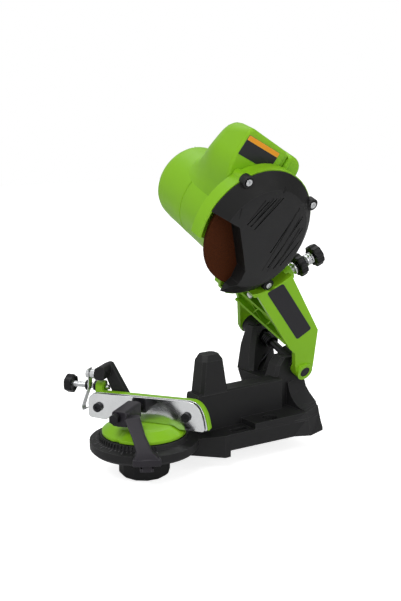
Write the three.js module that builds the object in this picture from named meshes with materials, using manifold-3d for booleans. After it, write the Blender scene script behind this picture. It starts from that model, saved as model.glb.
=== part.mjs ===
// Bench chain grinder: a tilting head with a grinding wheel over a swivelling chain vise.
// Millimetres. +X runs from the vise to the tower, +Y from the wheel cover to the motor, +Z up.
// The foot stands on the bench at z = 0, and the vise platform hangs in front of the bench edge.

import * as THREE from "three";
import { mergeVertices } from "three/addons/utils/BufferGeometryUtils.js";
import Module from "manifold-3d";

const wasm = await Module();
wasm.setup();

// Fits, overruns and fineness
const GAP = 0.3; // between pieces that touch
const OVERRUN = 2; // how far a cut passes the surface that it opens
const WELD = 0.0005;
const FAR = 60; // farther than any cut needs to reach
const FINE = 48; // facets round the wheel, guard and platform
const ROUND = 28;
const SMALL = 14;
const HEX = 6;
const CHECKS = 60; // points on each turn of the spring, for its least gap

// Places
const VISE_X = -126; // foot of the point where the wheel meets the chain, from the middle of the base's foot
const VISE_Y = -13.5;
const SWIVEL = [2.3, -3.3]; // swivel bolt from that point's foot, along the jaws
const VISE_TURN = 35; // degrees that the vise is swivelled from its middle
const CHAIN_UP = 53; // height of the point where the wheel meets the chain
const HEAD_TILT = 21; // degrees that the hinge and spindle axes rise towards the motor
const SPINDLE_X = 83.7; // spindle from the chain point, in the tilted frame
const SPINDLE_UP = 162.8;
const HINGE_X = 176; // hinge from the chain point, in the tilted frame
const HINGE_UP = 11;

// Foot, platform and tower, measured from the chain point's foot
const PLATFORM = { low: 6.2, edge: 8.6, rim: 15.6, shelf: 17.4, top: 21.4, foot: 47.8, out: 50, step: 41.2, ring: 40 };
const FOOT_LOW = [[72, -43], [145.2, -47.5], [160.3, -54.7], [180.7, -49], [186.3, -43], [186.3, 70], [180.7, 76], [160.3, 81.7], [145.2, 74.5], [72, 70]];
const FOOT_HIGH = [[72, -43], [144.7, -45.8], [162, -46], [186.2, -35], [187, -31.5], [187, 58.5], [186.2, 62], [162, 73], [144.7, 72.8], [72, 70]];
const APRON_OUTLINE = [[24, -29], [32, -29], [66, -43], [72.5, -43], [72.5, 70], [66, 70], [32, 29], [24, 29]];
const APRON_SIDE = [[20, 0], [31, 0], [66, -6], [72, -6], [72, 0], [73, 0], [73, 15.5], [20, 14]];
const NECK = { start: 4, end: 34, half: 29, top: 14, relief: 31.5 };
const FOOT_TOP = 15.5;
const DECK_TOP = 21;
const DECK_START = 100;
const RIB = { start: 50, end: 150, side: [[-22, 12], [-22, 50], [-20.5, 51.5], [-4.5, 51.5], [-3, 50], [-3, 12]] };
const POST_RINGS = [
  { up: 50, x: [53, 85], y: [-23, -2], cut: 3 },
  { up: 52.5, x: [53.5, 84.5], y: [-22.5, -2.5], cut: 3 },
  { up: 82, x: [56.5, 79.5], y: [-22, -3.5], cut: 3 },
  { up: 87.5, x: [59, 76.5], y: [-19, -6], cut: 3 },
];
const SKIRT_RINGS = [
  { up: 18, x: [145.2, 186.5], y: [-15, 61.5], cut: 3, far: 30 },
  { up: 26, x: [145.3, 187], y: [-15, 61.5], cut: 3, far: 28 },
  { up: 34, x: [145.4, 187.3], y: [-15, 62], cut: 3, far: 26 },
  { up: 47, x: [145.6, 187.5], y: [-14.6, 63.5], cut: 3, far: 20 },
];
const FLARE_RINGS = [ // height, then y at the flare's left and right edge, then x of its right edge
  [18, -44, -34, 185], [21.6, -43, -33.6, 186], [22.4, -36, -32.6, 186.4], [24.2, -31.2, -31, 187], [27, -26.6, -26.9, 187],
  [31.3, -22.3, -20.9, 187], [36.4, -19.4, -15.7, 187], [44, -16.6, -12.5, 187],
];
const FLARE = { left: 162, back: 0, middle: 13.5 }; // middle is the foot's, about which the far flare mirrors the near one
const NEAR_COLUMN_RINGS = [
  { up: 46, x: [145.8, 187.5], y: [-14.6, 4], cut: 3 },
  { up: 62, x: [151, 187.5], y: [-14.6, 3], cut: 3 },
  { up: 69.5, x: [157.5, 187], y: [-14.2, 3], cut: 3 },
];
const FAR_COLUMN_RINGS = [
  { up: 46, x: [150, 187.5], y: [28, 64.5], cut: 4, far: 14 },
  { up: 70, x: [157, 187.5], y: [35, 62], cut: 4, far: 8 },
  { up: 90, x: [164, 187], y: [39, 58], cut: 4, far: 5 },
];
const COLUMN_BOSS = { radius: 11, near: [-11.5, 10], far: [54, 70], bore: 6.6 };
const BENCH_HOLES = { places: [[122.8, -37], [122.8, 63]], radius: 3.6, head: 7.5, floor: 16 };
const BENCH_SLOT = { x: [78, 96], y: [-38, -31], floor: 6 };

// Hinge, measured along the hinge axis
const HINGE = {
  shaft: 4, start: -20.6, end: 84, headRadius: 5.4, head: [-23.8, -20.4],
  nutRadius: 7.5, nut: [76.3, 82], bushOut: 6.3, nearBush: [-11.5, 10], farBush: [54, 70],
};
const SPRING = {
  wire: 1, coil: 6.6, pitch: 2.5, start: 31.5, sides: 5, steps: 8,
  turns: 4.222, firstTurn: -40, // degrees at which the lower leg meets the coil
  lowLeg: 30, highLeg: 34,
  room: { radius: 8.2, span: [26, 46] }, // hollow in the far column round the coil
  slot: { span: [20, 34], line: [[6.6, -2.6], [9.2, -5.4], [-13.4, -31], [-17.6, -27.4]] }, // and along its lower leg
};

// Yoke, outlines across the tilted frame
const YOKE_SLOPE = -0.16; // outward lean of the near plate along X
const YOKE_LEAN_FROM = 100;
const NEAR_PLATE = { y: [-10, -4.5], outline: [[152, 38.5], [159.5, 33], [164, 18], [168, 8], [184.5, 9], [184.6, 17], [177.2, 60], [126.5, 126], [119, 131], [80, 117], [95, 106]] };
const FAR_PLATE = { y: [71, 76], outline: [[160, 20], [163.5, 8], [169, 1], [176, -1], [183, 1], [187, 7], [187.5, 16], [179, 58], [127, 122], [112, 112], [153, 42]] };
const BACK_WALL = { y: [-11, 72], outline: [[182, 42], [177.2, 60], [119, 131], [115.9, 128.4], [173.5, 58.4], [177.5, 42]] };
const CROSS_WALL = { // a channel that opens towards the vise
  y: [-12, 72],
  outline: [[146.8, 53.6], [155, 54], [155, 45.4], [147.6, 44.4], [147.6, 42], [181, 46], [180, 50.5], [157.5, 48], [157.5, 56.4], [146.8, 56]],
};
const CHANNEL_RIBS = { // on the channel's wall, each from a place under its upper edge to one over its lower edge
  thick: 1.4, x: [149, 155.5], lines: [[[55, 54.3], [26, 43]], [[35.5, 54.3], [43.5, 43]], [[12.5, 54.3], [20.5, 43]]],
};
const WALL_REACH = [-6, 12]; // how the yoke's walls run on to the leaning plate
const SADDLE = { y: [10.1, 34], outline: [[82, 95], [96, 97.5], [133, 114.5], [112, 139], [80, 130]] };
const SHOULDER = { y: [-9.6, 12], inner: 61.6, outer: 65.6, wedge: [[80, 117], [119, 131], [177, 60], [146, 46]] };
const YOKE_BOSS = { near: { radius: 9, span: [-24, -11.8] }, far: { radius: 11.5, span: [70.3, 75.8] } };
const X_RIB = { thick: 2.5, deep: 17, inset: 1, y: [12, 71.5], ends: [[166, 63], [112, 127]] };

// Depth stop, measured along the rod from its tip
const ROD = { tipX: 99.2, tipUp: 94.5, tipY: 1.5, rise: 27.6, radius: 3.6, length: 80, collar: 5.6, collarSpan: [66, 73.4] };
const ROD_BOSS = { radius: 8, span: [32, 47] };
const LOCK_KNOB = { span: [55, 63], radius: 9.8, hub: 6, hubSpan: [51, 55.5] };
const DEPTH_KNOB = { span: [73.7, 83], radius: 9.6 };
const KNOB_LOBES = 8;
const LOBE_SHARE = 0.09;

// Motor housing, cover and wheel: radius, then place along the spindle
const HOUSING_FRONT = [[8.5, 6], [58.7, 6], [58.7, -2.7]];
const HOUSING_OUTSIDE = [[61, -2.7], [61, 9.8], [43, 9.8], [39.8, 13], [38.4, 61]];
const HOUSING_INSIDE = [[35, 61], [35.6, 13.5], [15, 13.5], [15, 20], [11.3, 20], [11.3, 12], [8.5, 12]];
const HOUSING_CUT = [[-80, 12], [-47, -6], [-20, -46], [-10, -80], [-80, -80]];
const HOUSING_CUT_SPAN = [-5, 9.8];
const CAP_PROFILE = [[38.4, 61.3], [37.2, 103.5], [34.6, 108.4], [28, 110.6], [0, 111.2], [0, 108.6], [9, 108.6], [9, 104.4], [11.3, 104.4], [11.3, 97], [14.5, 97], [14.5, 107.6], [30, 107.2], [33.4, 103.6], [34.9, 61.3]];
const COVER_PROFILE = [[60, -3], [60, -3.8], [47, -15], [40, -16.4], [0, -17.6], [0, -15.7], [39.6, -14.5], [46.2, -13.3], [57.4, -3.6], [57.4, -3]];
const COVER_CUT = [[-80, 35], [-58, 27], [-43, 20.8], [-31, 15], [-12.5, -29], [-15.5, -42], [-21, -47], [-27, -62], [-80, -62]];
const COVER_WALL = [1.7, 1.2]; // shift that gives the wall along the opening its thickness
const COVER_SCREWS = { ring: 59.3, turns: [117, 27, -63], lug: 4.1, lugSpan: [-7.4, -3], hole: 1.7, shank: 1.4, head: 3.1, headSpan: [-9.6, -7.7], tip: 9 };
const FLANGE_LUG = { radius: 4.3, span: [-2.7, 9.8] };
const GROOVES = {
  width: 1.3, floor: -15.4,
  lines: [
    [[31, 29], [10, -13]], [[37.5, 20.5], [12, -28.5]], [[41.5, 9], [19, -30]], [[42, -4], [26, -28]],
    [[9, 40], [-15, 12]], [[2, 40], [-20, 15]], [[-6, 38], [-24, 17]],
  ],
};
const WHEEL_PROFILE = [[11.3, -2.2], [51.2, -2.2], [52, -1.4], [52, 1.4], [51.2, 2.2], [11.3, 2.2]];
const INNER_FLANGE_PROFILE = [[5.3, -1.8], [11, -1.8], [11, 2.5], [18, 2.5], [18, 4], [16, 5.2], [5.3, 5.2]];
const OUTER_FLANGE_PROFILE = [[5.3, -5.2], [14, -5.2], [16, -4.2], [16, -2.5], [5.3, -2.5]];
const SPINDLE_NUT = { radius: 8.4, span: [-10.5, -5.5] };
const SPINDLE_PROFILE = [[0, -12.6], [4.4, -12.6], [5, -12], [5, 5.5], [7, 5.5], [7, 11.2], [4, 11.2], [4, 104], [0, 104]];

// Inside the motor
const BEARING_PROFILE = [[4.3, 0], [11, 0], [11, 7], [4.3, 7]];
const BEARING_STARTS = [12.3, 97.2];
const FAN = { hub: 9, disc: 30, plate: [24, 25.6], blades: 9, bladeTop: 32, bladeThick: 1.4, bladeIn: 12 };
const ROTOR_PROFILE = [[4.3, 35], [13, 35], [16, 39.5], [19.2, 40], [19.2, 67], [16, 67.5], [13, 72], [4.3, 72]];
const COMMUTATOR_PROFILE = [[4.3, 76], [9.5, 76], [9.5, 92], [4.3, 92]];
const STATOR_PROFILE = [[20.4, 37], [27, 37], [27, 40.5], [34.6, 40.5], [34.6, 58], [34.5, 66.5], [27, 66.5], [27, 70], [20.4, 70]];
const CAP_SCREWS = { ring: 30.5, turns: [90, -90], hole: 2.1, shank: 1.8, head: 3.2, seat: 108.6, headTop: 110.7, tip: 50 };
const BRUSH = { half: 3, along: [80.5, 87.5], out: [9.8, 27] };
const HOLDER = { half: 5.5, along: [78, 90], out: [17, 33], hole: 0.3 };

// Switch box: e runs along its top, f away from the spindle, y along the spindle
const BOX_TURN = -25; // degrees that the box leans
const BOX = { y: [10.1, 43], outline: [[-58, 38], [-57.6, 60], [-55, 67], [-51, 71.3], [-45, 73.5], [-4, 73.5], [-2, 71.5], [-2, 20], [-34, 20]] };
const BOX_HOLLOW = { y: [12.8, 40.3], outline: [[-55, 42.5], [-54.8, 60], [-52.5, 66], [-49, 69.5], [-45, 70.8], [0, 70.8], [0, 42.5]] };
const BOX_END = { y: [10.1, 43], outline: [[-1.7, 20], [-1.7, 71.5], [0.3, 73.5], [4, 73.5], [11, 71], [16, 66], [18.6, 59], [19, 53], [19, 20]] };
const SWITCH_BODY = { e: [-8, 18.7], f: [43.3, 58.7], y: [19.3, 33.7] };
const SWITCH_HOLE = { e: [-3, 19.5], f: [43, 59], y: [19, 34] };
const ROCKER_SEAT = { e: [10.8, 20], f: [44.6, 57.6], y: [21, 32] };
const ROCKER = { y: [21.3, 31.7], outline: [[12, 46.5], [14, 45.6], [19.2, 45.3], [18, 51], [20.6, 56.6], [14, 56.4], [12, 55.5]] };
const ROCKER_PIVOT = [15.5, 51];

// Vise: s runs along the jaws, y away from the front, z up
const TURNTABLE_PROFILE = [[4.6, 21.7], [38.5, 21.7], [38.5, 24.4], [29, 30.2], [25, 31], [9.3, 31], [9.3, 26.6], [4.6, 26.6]];
const REAR_JAW = { y: [2.8, 9.2], outline: [[-51, 34], [-51, 49], [-46, 54], [45, 55], [53, 51.5], [59.5, 43], [62.5, 32], [62.5, 28.5], [32, 28.5], [27, 30], [-29, 30], [-35, 34]] };
const FAR_JAW = { y: [1, 2.5], outline: [[-55, 36], [-54.5, 47], [-51, 51.5], [-44, 54], [45, 55.3], [53.5, 51], [59, 42], [61.2, 33], [60.5, 29], [34.5, 28], [28, 31.4], [-36, 31.4], [-48, 30.5], [-53, 32]] };
const NEAR_JAW = { y: [-2, -0.5], outline: [[-55.3, 34], [-55.3, 45.5], [-53, 49.8], [-48.5, 52.8], [-43, 53.6], [45, 55.3], [52, 51], [57, 42], [59.3, 33], [58.5, 29], [56, 28], [34.5, 28], [29, 31.4], [-34, 31.4], [-38, 29], [-50, 29], [-54, 31]] };
const JAW_SCREWS = { s: [-45, 42], up: 40.5, head: 4.3, headSpan: [-5, -2.3], shank: 2, tip: 7, hole: 2.4 };
const NUT_BLOCK = { s: [-50, -43.4], y: [3, 16], up: [48, 61] };
const CLAMP_ARM_BLOCK = { s: [-13.5, 0.5], y: [-40, -7], up: [38, 52], cut: 3 };
const CLAMP_LEG = { turn: -64.3, length: 54, half: 7, ring: 16, up: [1.2, 5.7] }; // measured out from the bolt
const CLAMP_LUG = { inner: 50.5, outer: 56.4, half: 12.5, up: [1.2, 15.5] };
const CLAMP_STEM = [
  { up: 46, x: [25, 35], y: [-19, -5], cut: 1.5 },
  { up: 32, x: [39, 47], y: [-12.5, -0.5], cut: 1.5 },
  { up: 21, x: [46, 54.5], y: [-9, 5], cut: 1.5 },
  { up: 14.5, x: [50.8, 56], y: [-11.5, 11.5], cut: 1.5 },
];
const CLAMP_SCREW = { s: -8.5, up: 46.4, radius: 2.6, head: 4.8, headSpan: [-47.5, -41.4], tip: -2.3 };
const STOP_ARM = { y: [9.5, 16.5], outline: [[-35, 38], [-20, 38], [-20, 51], [-37, 79.5], [-40, 81], [-47.5, 77.5], [-47.5, 64], [-43, 64], [-35.5, 51]] };
const STOP_HEAD = { y: [-5, 12], outline: [[-37.5, 65], [-37.5, 79.3], [-40, 81], [-47.5, 77.5], [-47.5, 65]] };
const STOP_PIVOT = { y: -0.5, up: 71.4, bush: 4.3, bore: 2.3, bushSpan: [-52.4, -47.8], head: 3.9, headSpan: [-56.6, -54], shank: 2, shankEnd: -40 };
const STOP_LEAF = { thick: 1, y: [-5, 2.2], line: [[-53.2, 77], [-53.2, 60], [-57, 50], [-60.4, 40], [-59.6, 37], [-57.4, 38]], hole: 2.4 };
const ADJUSTER = {
  y: 9.6, up: 57, radius: 2.8, start: -79, end: -26, knob: 8, knobSpan: [-83.5, -75], lobes: 6,
  washer: 5, washerSpan: [-62, -60.5], nut: 5.2, nutSpan: [-53.6, -50.3],
};
const SWIVEL_BOLT = { radius: 4, low: -12, top: 27, head: 8.6, headTop: 30.6 };
const SWIVEL_KNOB = {
  sides: 12, bore: 4.3, boreFloor: -13,
  profile: [[0, -18.6], [20.5, -18.6], [23.8, -15.6], [23.8, -5], [21.8, -3], [14, -3], [14, 0.9], [0, 0.9]],
};

// Solids

function solidOf(geometry) {
  const bare = geometry.clone();
  bare.deleteAttribute("normal");
  bare.deleteAttribute("uv");
  const welded = mergeVertices(bare, WELD);
  const place = welded.attributes.position;
  const corner = [];
  for (let i = 0; i < place.count; i += 1) {
    corner.push(new THREE.Vector3().fromBufferAttribute(place, i));
  }
  const faces = [];
  let volume = 0;
  const index = welded.index.array;
  for (let i = 0; i < index.length; i += 3) {
    const [a, b, c] = [index[i], index[i + 1], index[i + 2]];
    if (a === b || b === c || c === a) {
      continue;
    }
    faces.push([a, b, c]);
    volume += corner[a].dot(corner[b].clone().cross(corner[c]));
  }
  const turned = volume < 0 ? faces.map(([a, b, c]) => [a, c, b]) : faces;
  return new wasm.Manifold(new wasm.Mesh({
    numProp: 3,
    vertProperties: Float32Array.from(place.array),
    triVerts: Uint32Array.from(turned.flat()),
  }));
}

function joined(...solids) {
  return solids.reduce((whole, next) => whole.add(next));
}

function cut(base, ...tools) {
  return tools.reduce((whole, next) => whole.subtract(next), base);
}

function moved(solid, matrix) {
  return solid.transform(matrix.elements);
}

function shifted(solid, x, y, z) {
  return moved(solid, new THREE.Matrix4().makeTranslation(x, y, z));
}

function radians(degrees) {
  return THREE.MathUtils.degToRad(degrees);
}

// A box between pairs of coordinates.
function block(x, y, z) {
  const box = new THREE.BoxGeometry(x[1] - x[0], y[1] - y[0], z[1] - z[0]);
  box.translate((x[0] + x[1]) / 2, (y[0] + y[1]) / 2, (z[0] + z[1]) / 2);
  return solidOf(box);
}

function shapeOf(points) {
  return new THREE.Shape(points.map(([x, y]) => new THREE.Vector2(x, y)));
}

// An outline in X and Y, raised from low to high along Z.
function raised(points, [low, high]) {
  const body = new THREE.ExtrudeGeometry(shapeOf(points), { depth: high - low, bevelEnabled: false });
  body.translate(0, 0, low);
  return solidOf(body);
}

// An outline in X and Z, drawn through Y.
function slab(points, [near, far]) {
  const body = new THREE.ExtrudeGeometry(shapeOf(points), { depth: far - near, bevelEnabled: false });
  body.rotateX(Math.PI / 2);
  body.translate(0, far, 0);
  return solidOf(body);
}

// An outline in Y and Z, drawn through X.
function beam(points, [start, end]) {
  return moved(raised(points, [start, end]), new THREE.Matrix4().set(
    0, 0, 1, 0,
    1, 0, 0, 0,
    0, 1, 0, 0,
    0, 0, 0, 1,
  ));
}

// A profile of radius and height, turned about Y. One that leaves the axis closes on itself.
function turnedY(profile, facets) {
  const onAxis = profile[0][0] === 0;
  const line = onAxis ? profile : [...profile, profile[0]];
  return solidOf(new THREE.LatheGeometry(line.map(([r, y]) => new THREE.Vector2(r, y)), facets));
}

function turnedZ(profile, facets) {
  return moved(turnedY(profile, facets), new THREE.Matrix4().makeRotationX(Math.PI / 2));
}

function rodY(radius, [near, far], facets = SMALL) {
  const body = new THREE.CylinderGeometry(radius, radius, far - near, facets);
  body.translate(0, (near + far) / 2, 0);
  return solidOf(body);
}

function rodZ(radius, span, facets = SMALL) {
  return moved(rodY(radius, span, facets), new THREE.Matrix4().makeRotationX(Math.PI / 2));
}

function rodX(radius, [start, end], facets = SMALL) {
  return moved(rodY(radius, [-end, -start], facets), new THREE.Matrix4().makeRotationZ(Math.PI / 2));
}

// A convex solid through rings of corners, each ring with as many corners.
function skinned(rings) {
  const count = rings[0].length;
  const place = rings.flat().flat();
  const index = [];
  for (let r = 0; r + 1 < rings.length; r += 1) {
    for (let i = 0; i < count; i += 1) {
      const a = r * count + i;
      const b = r * count + ((i + 1) % count);
      index.push(a, b, b + count, a, b + count, a + count);
    }
  }
  const last = (rings.length - 1) * count;
  for (let i = 1; i + 1 < count; i += 1) {
    index.push(0, i + 1, i, last, last + i, last + i + 1);
  }
  const body = new THREE.BufferGeometry();
  body.setAttribute("position", new THREE.Float32BufferAttribute(place, 3));
  body.setIndex(index);
  return solidOf(body);
}

// A tapering block through level rectangles with cut corners. The far front corner may have a cut of its own.
function tapered(rings) {
  return skinned(rings.map(({ up, x, y, cut: c, far = c }) => [
    [x[0] + c, y[0], up], [x[1] - c, y[0], up], [x[1], y[0] + c, up], [x[1], y[1] - c, up],
    [x[1] - c, y[1], up], [x[0] + far, y[1], up], [x[0], y[1] - far, up], [x[0], y[0] + c, up],
  ]));
}

// A round outline with lobes, for knobs that fingers turn.
function lobed(radius, lobes, share) {
  const steps = lobes * SMALL / 2;
  return Array.from({ length: steps }, (_, i) => {
    const turn = 2 * Math.PI * i / steps;
    const r = radius * (1 - share + share * Math.cos(lobes * turn));
    return [r * Math.cos(turn), r * Math.sin(turn)];
  });
}

// Frames

const TILTED = new THREE.Matrix4().makeTranslation(0, 0, CHAIN_UP)
  .multiply(new THREE.Matrix4().makeRotationX(radians(HEAD_TILT)));
const TO_SPINDLE = new THREE.Matrix4().makeTranslation(SPINDLE_X, 0, SPINDLE_UP);
const TO_HINGE = new THREE.Matrix4().makeTranslation(HINGE_X, 0, HINGE_UP);
const TO_ROD = new THREE.Matrix4().makeTranslation(ROD.tipX, ROD.tipY, ROD.tipUp)
  .multiply(new THREE.Matrix4().makeRotationY(radians(-ROD.rise)));

// Pieces of the base

function platform() {
  const p = PLATFORM;
  return turnedZ([
    [SWIVEL_BOLT.radius + 2 * GAP, p.low], [p.foot, p.low], [p.out, p.edge], [p.out, p.rim],
    [p.step, p.shelf], [p.ring, p.top], [SWIVEL_BOLT.radius + 2 * GAP, p.top],
  ], FINE);
}

function atSwivel(solid) {
  return shifted(solid, SWIVEL[0], SWIVEL[1], 0);
}

function neck() {
  const bar = block([NECK.start, NECK.end], [-NECK.half, NECK.half], [0, NECK.top]);
  return cut(bar, atSwivel(rodZ(NECK.relief, [-OVERRUN, NECK.top + OVERRUN], ROUND)));
}

function apron() {
  const plan = raised(APRON_OUTLINE, [-PLATFORM.edge, PLATFORM.rim]);
  const y = [-FOOT_LOW[5][1], FOOT_LOW[5][1] + OVERRUN];
  return cut(plan.intersect(slab(APRON_SIDE, y)), atSwivel(rodZ(NECK.relief, [-PLATFORM.edge, PLATFORM.rim], ROUND)));
}

function farSide(solid) {
  return shifted(solid.mirror([0, 1, 0]), 0, 2 * FLARE.middle, 0);
}

// The wall that sweeps from the tower's foot up to a column.
function flare() {
  return skinned(FLARE_RINGS.map(([up, left, right, end]) => [
    [FLARE.left, left, up], [end, right, up], [end, FLARE.back, up], [FLARE.left, FLARE.back, up],
  ]));
}

function columns() {
  const boss = (span) => moved(rodY(COLUMN_BOSS.radius, span, ROUND), TO_HINGE);
  return joined(
    tapered(SKIRT_RINGS),
    flare(),
    farSide(flare()),
    tapered(NEAR_COLUMN_RINGS),
    tapered(FAR_COLUMN_RINGS),
    moved(boss(COLUMN_BOSS.near), TILTED),
    moved(boss(COLUMN_BOSS.far), TILTED),
  );
}

// The foot's walls lean in from its underside to the deck.
function footLevel(up) {
  const rise = up / DECK_TOP;
  return FOOT_LOW.map(([x, y], i) => [x + (FOOT_HIGH[i][0] - x) * rise, y + (FOOT_HIGH[i][1] - y) * rise, up]);
}

function deck() {
  const raisedPart = skinned([footLevel(FOOT_TOP - OVERRUN), footLevel(DECK_TOP)]);
  return cut(raisedPart, block([0, DECK_START], [-2 * FAR, 2 * FAR], [0, 2 * DECK_TOP]));
}

function baseMoulding() {
  const foot = joined(
    skinned([footLevel(0), footLevel(FOOT_TOP)]),
    deck(),
    apron(),
    neck(),
    atSwivel(platform()),
    beam(RIB.side, [RIB.start, RIB.end]),
    tapered(POST_RINGS),
    columns(),
  );
  const drills = BENCH_HOLES.places.flatMap(([x, y]) => [
    shifted(rodZ(BENCH_HOLES.radius, [-OVERRUN, DECK_TOP + OVERRUN]), x, y, 0),
    shifted(rodZ(BENCH_HOLES.head, [BENCH_HOLES.floor, DECK_TOP + OVERRUN]), x, y, 0),
  ]);
  const slot = block(BENCH_SLOT.x, BENCH_SLOT.y, [BENCH_SLOT.floor, FOOT_TOP + OVERRUN]);
  const bore = moved(moved(rodY(COLUMN_BOSS.bore, [COLUMN_BOSS.near[0] - OVERRUN, COLUMN_BOSS.far[1] + OVERRUN]), TO_HINGE), TILTED);
  const swivel = atSwivel(rodZ(SWIVEL_BOLT.radius + 2 * GAP, [-OVERRUN, PLATFORM.top + OVERRUN]));
  return cut(foot, ...drills, slot, bore, swivel, moved(moved(hingeRooms(), TO_HINGE), TILTED));
}

// Along the hinge axis: where the yoke's near boss turns, and where the spring lies in the far column.
function hingeRooms() {
  return joined(
    rodY(YOKE_BOSS.near.radius + GAP, [-FAR, COLUMN_BOSS.near[0]], ROUND),
    rodY(SPRING.room.radius, SPRING.room.span, ROUND),
    slab(SPRING.slot.line, SPRING.slot.span),
  );
}

// Pieces of the hinge

function ringY(outer, inner, span, facets = SMALL) {
  return cut(rodY(outer, span, facets), rodY(inner, [span[0] - OVERRUN, span[1] + OVERRUN], facets));
}

function hingeShaft() {
  return joined(rodY(HINGE.shaft, [HINGE.start - GAP, HINGE.end]), rodY(HINGE.headRadius, HINGE.head));
}

function hingeNut() {
  return cut(rodY(HINGE.nutRadius, HINGE.nut, HEX), rodY(HINGE.shaft + GAP, [HINGE.nut[0] - OVERRUN, HINGE.nut[1] + OVERRUN]));
}

// The spring's centre line: a straight leg, the coil round the shaft, and a second straight leg.
class SpringLine extends THREE.Curve {
  constructor() {
    super();
    this.coilLength = SPRING.turns * Math.hypot(2 * Math.PI * SPRING.coil, SPRING.pitch);
    this.wholeLength = SPRING.lowLeg + this.coilLength + SPRING.highLeg;
  }

  onCoil(turn) {
    const angle = radians(SPRING.firstTurn) + 2 * Math.PI * turn;
    const place = new THREE.Vector3(Math.cos(angle), 0, Math.sin(angle)).multiplyScalar(SPRING.coil);
    place.y = SPRING.start + SPRING.pitch * turn;
    const run = new THREE.Vector3(-Math.sin(angle), SPRING.pitch / (2 * Math.PI * SPRING.coil), Math.cos(angle));
    return { place, run: run.normalize() };
  }

  getPoint(t) {
    const along = t * this.wholeLength - SPRING.lowLeg;
    const turn = THREE.MathUtils.clamp(along / this.coilLength, 0, 1) * SPRING.turns;
    const { place, run } = this.onCoil(turn);
    const past = along - THREE.MathUtils.clamp(along, 0, this.coilLength);
    return place.addScaledVector(run, past);
  }
}

// The least gap between stretches of the wire that lie further apart along it than half a turn.
function leastGap(line, steps) {
  const points = line.getSpacedPoints(steps);
  const apart = Math.PI * SPRING.coil / (line.wholeLength / steps);
  let least = Infinity;
  for (let i = 0; i < points.length; i += 1) {
    for (let j = i + Math.ceil(apart); j < points.length; j += 1) {
      least = Math.min(least, points[i].distanceTo(points[j]));
    }
  }
  return least - 2 * SPRING.wire;
}

function returnSpring() {
  const line = new SpringLine();
  const steps = Math.round(SPRING.steps * line.wholeLength / (line.coilLength / SPRING.turns));
  console.log(`least gap of the return spring to itself: ${leastGap(line, CHECKS * steps / SPRING.steps).toFixed(2)} mm`);
  const ring = Array.from({ length: SPRING.sides }, (_, i) => {
    const turn = 2 * Math.PI * i / SPRING.sides;
    return [SPRING.wire * Math.cos(turn), SPRING.wire * Math.sin(turn)];
  });
  return solidOf(new THREE.ExtrudeGeometry(shapeOf(ring), { steps, extrudePath: line, bevelEnabled: false }));
}

// Pieces of the head

function lean(solid) {
  return moved(solid, new THREE.Matrix4().set(
    1, 0, 0, 0,
    YOKE_SLOPE, 1, 0, -YOKE_SLOPE * YOKE_LEAN_FROM,
    0, 0, 1, 0,
    0, 0, 0, 1,
  ));
}

function guardRoom(radius, span) {
  return moved(rodY(radius, span, FINE), TO_SPINDLE);
}

// One of the crossed ribs inside the yoke, from a low corner to a high one.
function crossRib(nearFirst) {
  const r = X_RIB;
  const [low, high] = r.ends;
  const y = nearFirst ? r.y : [r.y[1], r.y[0]];
  const a = new THREE.Vector3(low[0], y[0], low[1]);
  const b = new THREE.Vector3(high[0], y[1], high[1]);
  const along = b.clone().sub(a);
  const deep = new THREE.Vector3(-(high[1] - low[1]), 0, high[0] - low[0]).normalize();
  const across = deep.clone().cross(along).normalize().multiplyScalar(r.thick / 2);
  const corner = (end, depth, side) => end.clone().addScaledVector(deep, depth).addScaledVector(across, side).toArray();
  const ring = (end) => [
    corner(end, -r.inset, -1), corner(end, -r.inset, 1), corner(end, r.deep, 1), corner(end, r.deep, -1),
  ];
  return skinned([ring(a), ring(b)]);
}

function channelRib([[y0, z0], [y1, z1]]) {
  const { thick, x } = CHANNEL_RIBS;
  const half = thick / 2;
  return skinned([[z1, y1], [z0, y0]].map(([z, y]) => [[x[0], y - half, z], [x[1], y - half, z], [x[1], y + half, z], [x[0], y + half, z]]));
}

function armYoke() {
  const shoulder = lean(slab(SHOULDER.wedge, SHOULDER.y)).intersect(guardRoom(SHOULDER.outer, [-FAR, FAR]));
  const plate = joined(lean(slab(NEAR_PLATE.outline, NEAR_PLATE.y)), shoulder);
  const bosses = [YOKE_BOSS.near, YOKE_BOSS.far].map(({ radius, span }) => moved(rodY(radius, span, ROUND), TO_HINGE));
  const rodBoss = moved(rodX(ROD_BOSS.radius, ROD_BOSS.span), TO_ROD);
  const whole = joined(
    plate,
    slab(FAR_PLATE.outline, FAR_PLATE.y),
    ...[BACK_WALL, CROSS_WALL].flatMap(({ outline, y }) => [slab(outline, y), lean(slab(outline, WALL_REACH))]),
    ...CHANNEL_RIBS.lines.map(channelRib),
    slab(SADDLE.outline, SADDLE.y),
    crossRib(true),
    crossRib(false),
    rodBoss,
    ...bosses,
  );
  const shaft = moved(rodY(HINGE.shaft + GAP, [-FAR, 2 * FAR]), TO_HINGE);
  const headSeat = moved(rodY(HINGE.headRadius + GAP, [-FAR, HINGE.head[1] + GAP]), TO_HINGE);
  const rodHole = moved(rodX(ROD.radius + GAP, [-ROD.length, 2 * ROD.length]), TO_ROD);
  const guard = guardRoom(SHOULDER.inner, [-FAR, HOUSING_CUT_SPAN[1] + GAP]);
  const lugRooms = screwSpots().map(([x, z]) => (
    moved(shifted(rodY(FLANGE_LUG.radius + GAP, [-FAR, FLANGE_LUG.span[1] + GAP]), x, 0, z), TO_SPINDLE)
  ));
  return cut(whole, guard, moved(housingRoom(), TO_SPINDLE), ...lugRooms, shaft, headSeat, rodHole);
}

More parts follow.
